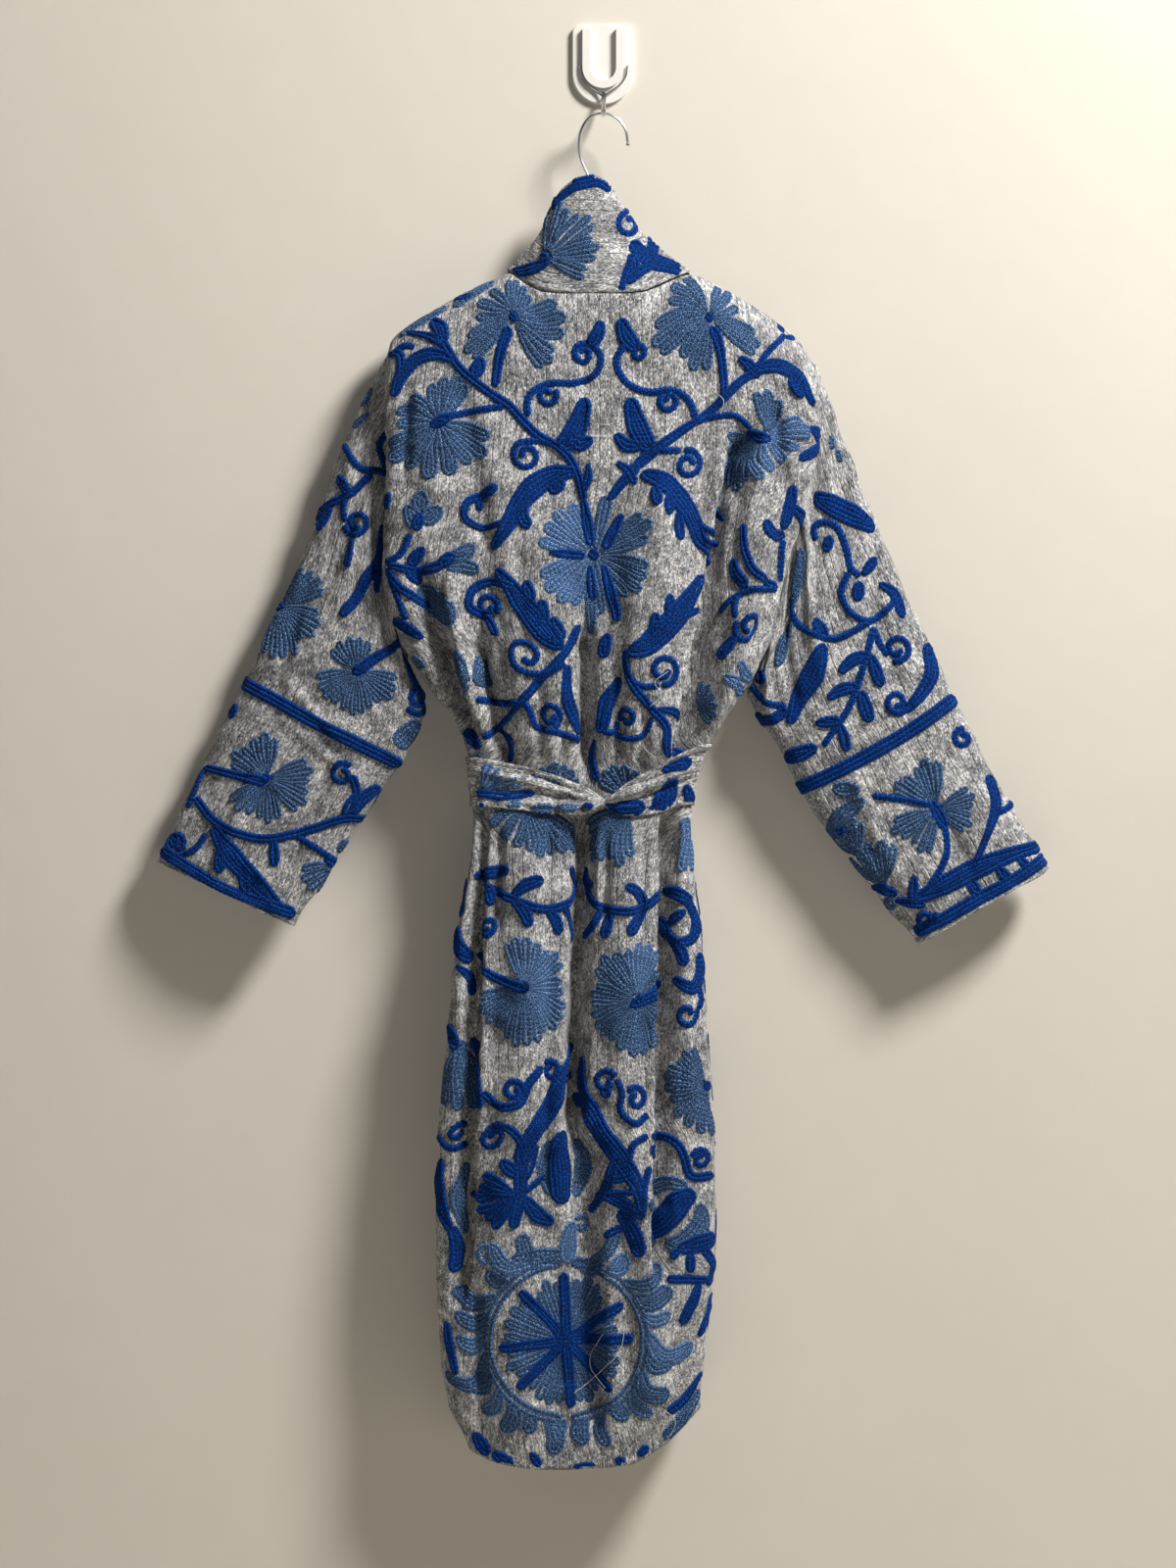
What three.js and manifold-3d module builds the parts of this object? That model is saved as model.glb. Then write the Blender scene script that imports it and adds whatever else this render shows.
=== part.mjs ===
// Long embroidered robe on a hanger and wall hook.
// Millimetres, +Z up. The wall is the plane y = 0, the robe hangs on its -Y side with its
// back outwards, and the origin is the middle of the wall plate's back face.

import * as THREE from "three";
import { mergeVertices } from "three/addons/utils/BufferGeometryUtils.js";
import Module from "manifold-3d";

const wasm = await Module();
wasm.setup();

// driving sizes
const cloth = 2.4;        // wall of every cloth piece
const seamGap = 0.3;      // gap left at each seam
const neckTop = -242;     // height of the back neck seam
const hemTop = -1438;     // nominal height of the hem
const beltHeight = -748;  // middle of the belt
const beltCloth = 2.6;
const hangerPlane = -31;  // y of the hanger, the shoulder seams and the hook
const armholeFoot = -562; // height of the lowest point of both armholes
const armholeGape = { back: 15, front: 8 };  // depth of an armhole behind and before its seam
const wrapStep = 4.6;     // how far the under front lies inside the over front

const table = (names, ...rows) => rows.map((row) => (
  Object.fromEntries(names.split(" ").map((name, i) => [name, row[i]]))
));

// outline of the robe at each height, seen from behind: left and right edges, the y of the
// back, of the front and of the side seams, and how far each side seam is tucked inwards
const bodyRows = table(
  "z left right back front seam tuckLeft tuckRight",
  [-216, -223, 219, -66, -12, -31, 0, 0],
  [-306, -223, 219, -68, -10, -31, 0, 0],
  [-343, -223, 222, -72, -8, -31, 12, 10],
  [-413, -221, 219, -78, -6, -31, 18, 18],
  [-450, -222, 212, -80, -6, -31, 20, 18],
  [-483, -224, 201, -82, -6, -31, 22, 18],
  [-516, -225, 190, -84, -6, -31, 26, 18],
  [-566, -218, 179, -87, -6, -32, 30, 20],
  [-600, -206, 170, -88, -7, -34, 28, 24],
  [-642, -179, 148, -88, -10, -38, 18, 20],
  [-687, -146, 119, -86, -16, -43, 6, 8],
  [-722, -136, 98, -82, -24, -48, 0, 0],
  [-748, -133, 92, -79, -28, -50, 0, 0],
  [-783, -132, 90, -82, -22, -50, 0, 0],
  [-843, -138, 94, -90, -14, -50, 0, 0],
  [-893, -148, 100, -95, -10, -50, 0, 0],
  [-993, -158, 106, -100, -7, -50, 0, 0],
  [-1083, -167, 113, -103, -6, -50, 0, 0],
  [-1183, -170, 115, -104, -6, -50, 0, 0],
  [-1323, -166, 104, -103, -6, -50, 0, 0],
  [-1383, -156, 98, -101, -7, -50, 0, 0],
  [-1440, -132, 92, -98, -8, -50, 0, 0],
);

// shoulder seams and back neck seam, one unbroken line from shoulder tip to shoulder tip
const topRows = table(
  "x z y",
  [-223, -306, -31], [-217, -288, -31], [-198, -271, -31], [-168, -253, -31],
  [-138, -236, -31], [-105, -222, -31], [-96, -219, -34], [-84, -227, -43],
  [-72, -235, -52], [-60, -240, -58], [-36, -242, -63], [-10, -242, -65],
  [16, -242, -63], [40, -240, -58], [56, -234, -50], [72, -226, -40],
  [89, -220, -32], [127, -236, -31], [162, -257, -31], [182, -271, -31],
  [203, -290, -31], [219, -312, -31],
);

const hemRows = table(
  "x z",
  [-170, -1384], [-152, -1404], [-130, -1424], [-100, -1435], [-60, -1440], [0, -1438],
  [30, -1434], [55, -1420], [75, -1404], [98, -1378], [116, -1356],
);

// folds of the back, each running from top to bottom: side-to-side place at both ends, half
// width, depth (away from the wall is positive) and sideways lean of its deepest line
const backFolds = table(
  "name top bottom xTop xBottom half depth lean",
  ["centre, above the belt", -560, -752, -16, -14, 15, -17, -6],
  ["centre, below the belt", -745, -1130, -16, -30, 19, -24, -6],
  ["right pocket of the back", -372, -742, 152, 78, 19, -25, -20],
  ["right wing", -452, -716, 170, 100, 17, 8, 8],
  ["left hollow", -500, -716, -196, -136, 18, -14, 4],
  ["left ridge", -505, -712, -158, -116, 15, 9, -10],
  ["left skirt fold", -745, -1290, -126, -146, 13, -16, 10],
  ["right skirt fold", -745, -1270, 70, 60, 13, -19, -14],
  ["left skirt ridge", -778, -1130, -72, -84, 26, 8, 0],
  ["right skirt ridge", -784, -1210, 22, 18, 22, 7, 0],
  ["left flare", -1010, -1430, -106, -96, 24, 6, 0],
  ["right flare", -1040, -1400, 46, 56, 20, 6, 0],
  ["right shoulder dent", -330, -470, 172, 186, 14, -7, 0],
  ["left shoulder dent", -318, -450, -196, -205, 12, -6, 0],
);

// folds of the fronts, where depth towards the wall is positive
const frontFolds = table(
  "name top bottom xTop xBottom half depth lean",
  ["left front fold", -400, -745, -150, -92, 20, -8, 0],
  ["right front fold", -430, -745, 130, 66, 18, -8, 0],
  ["left front skirt", -752, -1400, -100, -114, 18, -9, 0],
  ["right front skirt", -752, -1400, 66, 78, 18, -9, 0],
);

// seam between each front and its band, and the band's free edge
const leftBandRows = table(
  "z seam free",
  [-219, -98, -42], [-262, -98, -34], [-330, -92, -18], [-450, -74, 8],
  [-600, -50, 30], [-748, -34, 44], [-900, -36, 44], [-1150, -42, 40], [-1440, -44, 36],
);
const rightBandRows = table(
  "z seam free",
  [-219, 91, 12], [-262, 91, 8], [-330, 86, 12], [-450, 68, -12],
  [-600, 40, -38], [-748, 8, -70], [-900, 8, -72], [-1150, 10, -70], [-1440, 10, -66],
);

// left and right sleeve, a row for each section from armhole to cuff: the section's outer
// and inner end, the y of its middle and half of its depth
const leftSleeveRows = table(
  "outerX outerZ innerX innerZ y half",
  [-233, -323, -203, -584, -34, 10], [-276, -418, -195, -634, -36, 16],
  [-297, -483, -183, -655, -37, 19], [-322, -541, -184, -676, -38, 21],
  [-347, -591, -194, -700, -38, 22], [-371, -646, -206, -721, -37, 22],
  [-396, -693, -232, -757, -36, 22], [-458, -823, -316, -888, -36, 22],
);
const rightSleeveRows = table(
  "outerX outerZ innerX innerZ y half",
  [230, -340, 169, -582, -34, 10], [268, -446, 156, -630, -36, 16],
  [290, -497, 149, -650, -37, 19], [315, -556, 158, -670, -38, 21],
  [340, -612, 176, -697, -38, 22], [362, -655, 199, -742, -37, 22],
  [393, -718, 239, -801, -36, 22], [458, -830, 324, -908, -36, 22],
);

// the standing collar from the left shoulder round the back to the right shoulder:
// its sewn edge and its free rim
const collarRows = table(
  "seamX seamY seamZ rimX rimY rimZ",
  [-98, -31.5, -215, -47, -26, -160], [-86, -41, -224, -50, -32, -147],
  [-74, -50, -232, -47, -38, -139], [-60, -57.5, -238.4, -39, -43, -130],
  [-36, -62.5, -240.8, -26, -46, -122], [-10, -64.5, -241, -12, -47, -119],
  [16, -62.5, -240.8, -1, -45, -121], [40, -57.5, -238.4, 10, -41, -131],
  [56, -49.5, -232, 17, -36, -143], [72, -39.5, -224, 22, -31, -152],
  [90, -31.5, -216, 22, -26, -164],
);

// front bands between the shoulder and the chest: sewn edge and free edge
const leftNeckRows = table(
  "seamX seamY seamZ rimX rimY rimZ",
  [-98, -30.5, -215, -47, -25, -160], [-97, -22, -226, -41, -19, -190],
  [-97, -16, -252, -33, -15, -232],
);
const rightNeckRows = table(
  "seamX seamY seamZ rimX rimY rimZ",
  [90, -30.5, -216, 22, -25, -164], [90, -22, -227, 17, -19, -194],
  [90, -16, -253, 12, -17, -235],
);

// belt across the back: middle and half of its height and turn about its own length
const beltRows = table(
  "x z half turn",
  [-133, -740, 24, 0], [-90, -747, 21, 0], [-52, -753, 18, 4], [-28, -756, 15, 30],
  [-8, -757, 13, 68], [10, -758, 13, 112], [30, -761, 16, 152], [56, -759, 21, 176],
  [92, -745, 24, 180],
);

// the belt's two free ends on the front, from behind the knot down
const leftTailRows = table(
  "z left right",
  [-757, -33, -21], [-768, -34, -20.6], [-790, -42, -19], [-850, -47, -9], [-1190, -50, -10],
);
const rightTailRows = table(
  "z left right",
  [-757, -19, -7], [-768, -19.4, -6], [-790, -18, 8], [-850, -4, 34], [-1236, -2, 38],
);

// hanger bar: its top line and its height
const barRows = table(
  "x z height",
  [-190, -276, 12], [-166, -261, 15], [-138, -245, 18], [-105, -231, 21], [-88, -226, 23],
  [-72, -214, 25], [-40, -190, 26], [-8, -174, 27], [24, -190, 26], [58, -214, 25],
  [78, -227, 23], [92, -232, 21], [127, -247, 18], [158, -265, 15], [182, -281, 12],
);

const smooth = (t) => {
  const s = Math.min(Math.max(t, 0), 1);
  return s * s * (3 - 2 * s);
};
const mix = (a, b, t) => a + (b - a) * t;

// smooth curve through a column of a table, with no overshoot between its rows
function track(rows, along, column) {
  const flip = rows[0][along] > rows[rows.length - 1][along] ? -1 : 1;
  const at = rows.map((row) => flip * row[along]);
  const value = rows.map((row) => row[column]);
  const rise = value.slice(1).map((v, i) => (v - value[i]) / (at[i + 1] - at[i]));
  const slope = value.map((v, i) => {
    if (i === 0 || i === value.length - 1) return 0;
    return rise[i - 1] * rise[i] <= 0 ? 0 : 2 * rise[i - 1] * rise[i] / (rise[i - 1] + rise[i]);
  });
  return (place) => {
    const p = flip * place;
    if (p <= at[0]) return value[0];
    if (p >= at[at.length - 1]) return value[value.length - 1];
    const i = at.findIndex((a) => a > p) - 1;
    const step = at[i + 1] - at[i];
    const t = (p - at[i]) / step;
    const u = 1 - t;
    return u * u * (1 + 2 * t) * value[i] + t * t * (1 + 2 * u) * value[i + 1]
      + step * t * u * (u * slope[i] - t * slope[i + 1]);
  };
}
const tracks = (rows, along) => Object.fromEntries(
  Object.keys(rows[0]).filter((name) => name !== along && name !== "name")
    .map((name) => [name, track(rows, along, name)]),
);

const body = tracks(bodyRows, "z");
const top = tracks(topRows, "x");
const hem = tracks(hemRows, "x");

const folds = { "-1": backFolds, 1: frontFolds };
const squareness = 3.2;   // how flat the back and the fronts are between the sides
const rollShare = 0.45;   // share of the depth taken by the turn at the sides
const arch = 62;          // height over which the shoulders round into the back
const tubeSquareness = 2.4;

// height of a point at x on the row whose nominal height is level
function heightAt(x, level) {
  const fromTop = 1 - smooth((neckTop - level) / 190);
  const fromHem = 1 - smooth((level - hemTop) / 260);
  return level + (top.z(x) - neckTop) * fromTop + (hem.z(x) - hemTop) * fromHem;
}

// share of its full depth that the cloth has reached at this height below the shoulder seam
function archShare(x, z) {
  const drop = Math.min(Math.max(top.z(x) - z, 0) / arch, 1);
  return Math.sqrt(1 - (1 - drop) ** 2);
}

// share of its full width that a flattened tube has reached this far down it, from 0 to 1
function roundShare(along) {
  const off = Math.min(Math.abs(2 * along - 1), 1);
  return (1 - off ** tubeSquareness) ** (1 / tubeSquareness);
}

// open depth of the armhole at height z, on the back or on the front of its seam
function gapeAt(z, face, side) {
  const tip = topRows[side === "Left" ? 0 : topRows.length - 1].z;
  const gape = face < 0 ? armholeGape.back : armholeGape.front;
  return gape * roundShare((tip - z) / (tip - armholeFoot));
}

// how deep a fold is at height z, from 0 at its ends to 1
function foldShare(fold, z) {
  const length = fold.top - fold.bottom;
  const down = (fold.top - z) / length;
  const fade = Math.min(0.3, 60 / length);
  return smooth(down / fade) * smooth((1 - down) / fade);
}

// a row of the back (face -1) or of the fronts (face 1), from one side seam to the other,
// as close points; q is the place across, from -1 to 1, and past that the tucked side
function rowPoint(face, level, q, folded = true) {
  const across = Math.min(Math.max(q, -1), 1);
  const side = q < 0 ? "Left" : "Right";
  let x = 0;
  let z = level;
  for (let i = 0; i < 3; i += 1) {
    const middle = (body.left(z) + body.right(z)) / 2;
    x = middle + across * (body.right(z) - body.left(z)) / 2;
    z = heightAt(x, level);
  }
  const seam = body.seam(z);
  const depth = face < 0 ? body.back(z) : body.front(z);
  const roll = seam + (depth - seam) * rollShare;
  const crown = (1 - Math.abs(across) ** squareness) ** (1 / squareness);
  let y = roll + (depth - roll) * crown;
  for (const fold of folded ? folds[face] : []) {
    const share = foldShare(fold, z);
    const line = mix(fold.xTop, fold.xBottom, (fold.top - z) / (fold.top - fold.bottom));
    const off = (x - line) / fold.half;
    if (share > 0 && Math.abs(off) < 1) {
      const bump = share * Math.cos(off * Math.PI / 2) ** 2;
      x += fold.lean * bump;
      y += face * fold.depth * bump;
    }
  }
  const ridge = face > 0 || Math.abs(top.y(x) - hangerPlane) < 1;
  const rest = ridge ? hangerPlane + face * seamGap / 2 : top.y(x);
  y = mix(rest, y, archShare(x, z));
  const past = Math.abs(q) - 1;
  if (past > 0) {
    x -= Math.sign(q) * body[`tuck${side}`](z) * past;
    y = mix(y, seam + face * (gapeAt(z, face, side) + seamGap / 2), past);
  }
  return new THREE.Vector3(x, y, z);
}

// count points at equal steps along the row between two places across
function evenRow(face, level, from, to, count) {
  const fine = 160;
  const points = [];
  const reach = [0];
  for (let i = 0; i <= fine; i += 1) {
    points.push(rowPoint(face, level, mix(from, to, i / fine)));
    if (i) reach.push(reach[i - 1] + points[i].distanceTo(points[i - 1]));
  }
  const row = [];
  let j = 0;
  for (let i = 0; i < count; i += 1) {
    const target = reach[fine] * i / (count - 1);
    while (j < fine - 1 && reach[j + 1] < target) j += 1;
    const step = reach[j + 1] - reach[j];
    row.push(points[j].clone().lerp(points[j + 1], step > 0 ? (target - reach[j]) / step : 0));
  }
  return row;
}

// closed mesh from a flat list of corners and triangles, with its faces pointing out
function closedMesh(corners, faces) {
  const geometry = new THREE.BufferGeometry();
  geometry.setAttribute("position", new THREE.Float32BufferAttribute(corners.flatMap((c) => c.toArray()), 3));
  let volume = 0;
  for (const [a, b, c] of faces) {
    volume += corners[a].dot(new THREE.Vector3().crossVectors(corners[b], corners[c]));
  }
  geometry.setIndex(faces.flatMap(([a, b, c]) => (volume > 0 ? [a, b, c] : [a, c, b])));
  geometry.computeVertexNormals();
  return geometry;
}

// cloth wall on a grid of points: grid[row][column] is its outer face, and the inner face
// lies the cloth's thickness behind it; a tube joins its last column to its first
function clothWall(grid, thickness, inward, tube = false) {
  const rows = grid.length;
  const columns = grid[0].length;
  const corners = grid.flat();
  const behind = [];
  for (let r = 0; r < rows; r += 1) {
    for (let c = 0; c < columns; c += 1) {
      const left = tube ? grid[r][(c + columns - 1) % columns] : grid[r][Math.max(c - 1, 0)];
      const right = tube ? grid[r][(c + 1) % columns] : grid[r][Math.min(c + 1, columns - 1)];
      const down = grid[Math.min(r + 1, rows - 1)][c].clone().sub(grid[Math.max(r - 1, 0)][c]);
      const normal = right.clone().sub(left).cross(down).normalize();
      inward.forbid?.(normal, r, c, grid[r][c]);
      behind.push(grid[r][c].clone().addScaledVector(normal.normalize(), inward.sign * thickness));
    }
  }
  corners.push(...behind);
  const half = rows * columns;
  const faces = [];
  const quad = (a, b, c, d) => faces.push([a, b, c], [a, c, d]);
  const wide = tube ? columns : columns - 1;
  for (let c = 0; c < wide; c += 1) {
    const d = (c + 1) % columns;
    for (let r = 0; r < rows - 1; r += 1) {
      const i = r * columns;
      quad(i + c, i + columns + c, i + columns + d, i + d);
      quad(half + i + d, half + i + columns + d, half + i + columns + c, half + i + c);
    }
    const last = (rows - 1) * columns;
    quad(c, d, half + d, half + c);
    quad(last + d, last + c, half + last + c, half + last + d);
  }
  if (!tube) {
    for (let r = 0; r < rows - 1; r += 1) {
      const i = r * columns;
      quad(i + columns, i, half + i, half + i + columns);
      const e = i + columns - 1;
      quad(e, e + columns, half + e + columns, half + e);
    }
  }
  return closedMesh(corners, faces);
}

const rowLevels = (from, to, count, crowd = 1) => Array.from(
  { length: count },
  (_, i) => mix(from, to, (i / (count - 1)) ** crowd),
);

const clothGrey = new THREE.Color(0.46, 0.47, 0.5);
const yarnBlue = new THREE.Color(0.07, 0.27, 0.66);
const makeCloth = (tint) => new THREE.MeshStandardMaterial({
  color: clothGrey.clone().lerp(yarnBlue, tint), roughness: 0.95, metalness: 0,
});
const wood = new THREE.MeshStandardMaterial({ color: 0xb98a56, roughness: 0.6, metalness: 0 });
const steel = new THREE.MeshStandardMaterial({ color: 0xc8c8ca, roughness: 0.25, metalness: 1 });
const plastic = new THREE.MeshStandardMaterial({ color: 0xf2f0ec, roughness: 0.35, metalness: 0 });

const robe = new THREE.Group();
function add(name, geometry, material) {
  const mesh = new THREE.Mesh(geometry, material);
  mesh.name = name;
  robe.add(mesh);
}

// where the cloth meets a shoulder seam or a side seam its edge stands square to the seam
function squareAtSeam(normal, r, c, point) {
  const side = Math.abs(point.y - body.seam(point.z)) < seamGap;
  if ((r === 0 && point.y > hangerPlane - 2) || (side && point.z < -700)) normal.y = 0;
}

// heights of the rows that the back, the fronts and the bands share, closer together at
// the shoulders and where the belt draws the cloth in
const levels = [
  ...rowLevels(neckTop, neckTop - 66, 6, 1.8), -338, -372, -406, -440, -474, -506, -532, -550,
  armholeFoot, ...rowLevels(-588, -774, 8), ...rowLevels(-804, hemTop, 10),
];

function backPanel() {
  const grid = levels.map((level) => evenRow(-1, level, -2, 2, 29));
  return clothWall(grid, cloth, { sign: 1, forbid: squareAtSeam });
}

// place across, from -1 to 1, of a point at x on the row at this level
function acrossAt(x, level) {
  const z = heightAt(x, level);
  const half = (body.right(z) - body.left(z)) / 2;
  return (x - body.left(z)) / half - 1;
}

// the right front lies under the left one wherever the two overlap
const underShare = (x) => smooth((88 - x) / 38);

function frontPoint(side, level, q) {
  const point = rowPoint(1, level, q);
  if (side > 0) point.y -= wrapStep * underShare(point.x) * smooth((-330 - point.z) / 60);
  return point;
}

const band = { "-1": tracks(leftBandRows, "z"), 1: tracks(rightBandRows, "z") };

function frontPanel(side) {
  const columns = 7;
  const grid = levels.map((level) => {
    const seamX = band[side].seam(heightAt(band[side].seam(level), level)) + side * seamGap;
    const inner = acrossAt(seamX, level);
    const row = evenRow(1, level, 2 * side, inner, columns);
    return row.map((point) => {
      if (side > 0) point.y -= wrapStep * underShare(point.x) * smooth((-330 - point.z) / 60);
      return point;
    });
  });
  return clothWall(grid, cloth, { sign: side, forbid: squareAtSeam });
}

const neckRow = (row, columns) => Array.from({ length: columns }, (_, i) => (
  new THREE.Vector3(row.seamX, row.seamY, row.seamZ)
    .lerp(new THREE.Vector3(row.rimX, row.rimY, row.rimZ), i / (columns - 1))
));

function frontBand(side) {
  const columns = 3;
  const neck = (side < 0 ? leftNeckRows : rightNeckRows).map((row) => neckRow(row, columns));
  const chest = levels.filter((level) => level < -330).map((level) => {
    const z = heightAt(band[side].seam(level), level);
    return Array.from({ length: columns }, (_, i) => {
      const x = mix(band[side].seam(z), band[side].free(z), i / (columns - 1));
      return frontPoint(side, level, acrossAt(x, level));
    });
  });
  return clothWall([...neck, ...chest], cloth, { sign: side, forbid: squareAtSeam });
}

function collar() {
  const square = (normal, r) => {
    if (r === 0 || r === collarRows.length - 1) normal.y = 0;
  };
  return clothWall(collarRows.map((row) => neckRow(row, 4)), cloth, { sign: 1, forbid: square });
}

// sleeve: rings from the armhole to the cuff, each starting at its outer end, going down
// its back and coming up its front; the armhole's ring has a point on each row of the body
function sleeve(side) {
  const tip = topRows[side < 0 ? 0 : topRows.length - 1];
  const seam = new THREE.Vector3(side * 2 * seamGap, 0, 0);
  const edge = (face) => levels.map((level) => rowPoint(face, level, 2 * side))
    .filter((point) => point.z < tip.z - 3 && point.z > armholeFoot + 3)
    .map((point) => point.add(seam).setY(point.y - face * seamGap));
  const foot = rowPoint(-1, armholeFoot, 2 * side).add(seam);
  foot.y = body.seam(foot.z);
  const armhole = [
    new THREE.Vector3(tip.x, tip.y, tip.z).add(seam), ...edge(-1), foot, ...edge(1).reverse(),
  ];
  const rings = (side < 0 ? leftSleeveRows : rightSleeveRows).map((row) => armhole.map((start, i) => {
    const along = (tip.z - start.z) / (tip.z - foot.z);
    const face = i <= armhole.length / 2 ? -1 : 1;
    return new THREE.Vector3(
      mix(row.outerX, row.innerX, along),
      row.y + face * row.half * roundShare(along),
      mix(row.outerZ, row.innerZ, along),
    );
  }));
  return clothWall([armhole, ...rings], cloth, { sign: -side }, true);
}

// point of the belt: lift is its distance off the robe, rise its height over the middle
function beltPoint(face, q, z, rise, lift) {
  const here = rowPoint(face, z + rise, q, false);
  const step = 0.04;
  const ahead = rowPoint(face, z + rise, q + step, false);
  const back = rowPoint(face, z + rise, q - step, false);
  const out = new THREE.Vector3(ahead.y - back.y, back.x - ahead.x, 0).normalize();
  return here.addScaledVector(out, lift * -face);
}

const beltGap = 1.2;

// places round the waist, closer together where the sides turn
const besideKnot = 0.14;
const sidePlaces = [besideKnot, 0.36, 0.58, 0.76, 0.88, 0.95, 0.985, 1, 1.5, 2];
const backPlaces = [0.985, 0.95, 0.88, ...rowLevels(0.78, -0.78, 19), -0.88, -0.95, -0.985, -1];

function belt() {
  const backTrack = tracks(beltRows, "x");
  const frontStation = (face, q, endHeight, turn) => {
    const reach = (Math.abs(q) - besideKnot) / (2 - besideKnot);
    return [face, q, { z: mix(beltHeight, endHeight, reach), half: mix(17, 24, reach), turn }];
  };
  const stations = [
    ...sidePlaces.map((q) => frontStation(1, -q, -740, 0)),
    ...[-1, ...backPlaces.slice(0, -1).map((q) => -q), 1].map((q) => {
      const x = rowPoint(-1, beltHeight, q, false).x;
      return [-1, q, { z: backTrack.z(x), half: backTrack.half(x), turn: backTrack.turn(x) }];
    }),
    ...[...sidePlaces].reverse().map((q) => frontStation(1, q, -745, 180)),
  ];
  const grid = stations.map(([face, q, row]) => [-1, 0, 1].map((share) => {
    const turn = THREE.MathUtils.degToRad(row.turn);
    const lift = mix(beltGap + beltCloth, beltGap, row.turn / 180);
    const stand = row.half * Math.sin(turn) * (1 - share);
    return beltPoint(face, q, row.z, share * row.half * Math.cos(turn), lift + stand);
  }));
  return clothWall(grid, beltCloth, { sign: 1 });
}

// plain knot at the middle of the front, with the belt's two ends hanging from it
const knotMiddle = new THREE.Vector3(-20, -15, beltHeight);
const knotSize = new THREE.Vector3(30, 17, 46);

function beltKnot() {
  const knot = new THREE.SphereGeometry(0.5, 14, 10);
  knot.scale(knotSize.x, knotSize.y, knotSize.z);
  knot.translate(knotMiddle.x, knotMiddle.y, knotMiddle.z);
  return knot;
}

function beltTail(rows) {
  const edges = tracks(rows, "z");
  const first = rows[0].z;
  const last = rows[rows.length - 1].z;
  const grid = [first, ...rowLevels(-766, last, 10)].map((z) => (
    rowLevels(edges.left(z), edges.right(z), 3).map((x) => {
      const point = rowPoint(1, z, acrossAt(x, z), false);
      point.y = Math.min(point.y + beltGap + beltCloth, -1.2);
      return point;
    })
  ));
  return clothWall(grid, beltCloth, { sign: -1 });
}

// curved board with rounded edges, in the hanger's plane
function hangerBar() {
  const deep = 10;
  const bevel = 3;
  const bar = tracks(barRows, "x");
  const first = barRows[0].x;
  const last = barRows[barRows.length - 1].x;
  const along = rowLevels(first, last, 25);
  const outline = new THREE.Shape([
    ...along.map((x) => new THREE.Vector2(x, bar.z(x) - bevel)),
    ...along.reverse().map((x) => new THREE.Vector2(x, bar.z(x) - bar.height(x) + bevel)),
  ]);
  const board = new THREE.ExtrudeGeometry(outline, {
    depth: deep - 2 * bevel, bevelThickness: bevel, bevelSize: bevel, bevelSegments: 2, steps: 1,
  });
  board.rotateX(Math.PI / 2);
  board.translate(0, hangerPlane + deep / 2 - bevel, 0);
  return board;
}

const roundSection = (radius, sides) => new THREE.Shape(Array.from({ length: sides }, (_, i) => (
  new THREE.Vector2(
    radius * Math.cos(i / sides * Math.PI * 2), radius * Math.sin(i / sides * Math.PI * 2),
  )
)));
const wire = (points, radius, steps) => new THREE.ExtrudeGeometry(roundSection(radius, 8), {
  steps, extrudePath: new THREE.CatmullRomCurve3(points.map((p) => new THREE.Vector3(...p))),
});

// one closed solid from several that run into each other
function joined(...geometries) {
  const solids = geometries.map((geometry) => {
    geometry.deleteAttribute("normal");
    geometry.deleteAttribute("uv");
    const merged = mergeVertices(geometry, 1e-4);
    return new wasm.Manifold(new wasm.Mesh({
      numProp: 3, vertProperties: merged.attributes.position.array, triVerts: merged.index.array,
    }));
  });
  const mesh = solids.reduce((all, next) => all.add(next)).getMesh();
  const geometry = new THREE.BufferGeometry();
  geometry.setAttribute("position", new THREE.BufferAttribute(mesh.vertProperties, 3));
  geometry.setIndex(new THREE.BufferAttribute(mesh.triVerts, 1));
  geometry.computeVertexNormals();
  return geometry;
}

const hookWire = 1.5;     // radius of the hanger's wire
const hookTop = -54;      // height of the wire's middle where it hangs
const barTop = barRows[7].z;

function hangerHook() {
  const y = hangerPlane;
  const shaft = wire([
    [-8, y, barTop + 0.4], [-8.6, y, -150], [-12, y, -125], [-19, y, -109], [-23.4, y, -97],
    [-24.6, y, -85], [-22, y, -71], [-13.5, y, -58.5], [1, y, hookTop], [14.5, y, -59],
    [23, y, -69.5], [26, y, -85],
  ], hookWire, 56);
  const tip = new THREE.SphereGeometry(2.1, 10, 8);
  tip.translate(26, y, -86);
  return joined(shaft, tip);
}

// wall plate with straight sides, a round foot and a raised cradle, moulded in one
const plate = { left: -31, right: 32, top: 41, corner: 9, deep: 4.6, bevel: 1 };
const cradle = { outer: 21.3, inner: 13.4, middle: 0.6, top: 36, arc: -4, deep: 5.4 };

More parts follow.
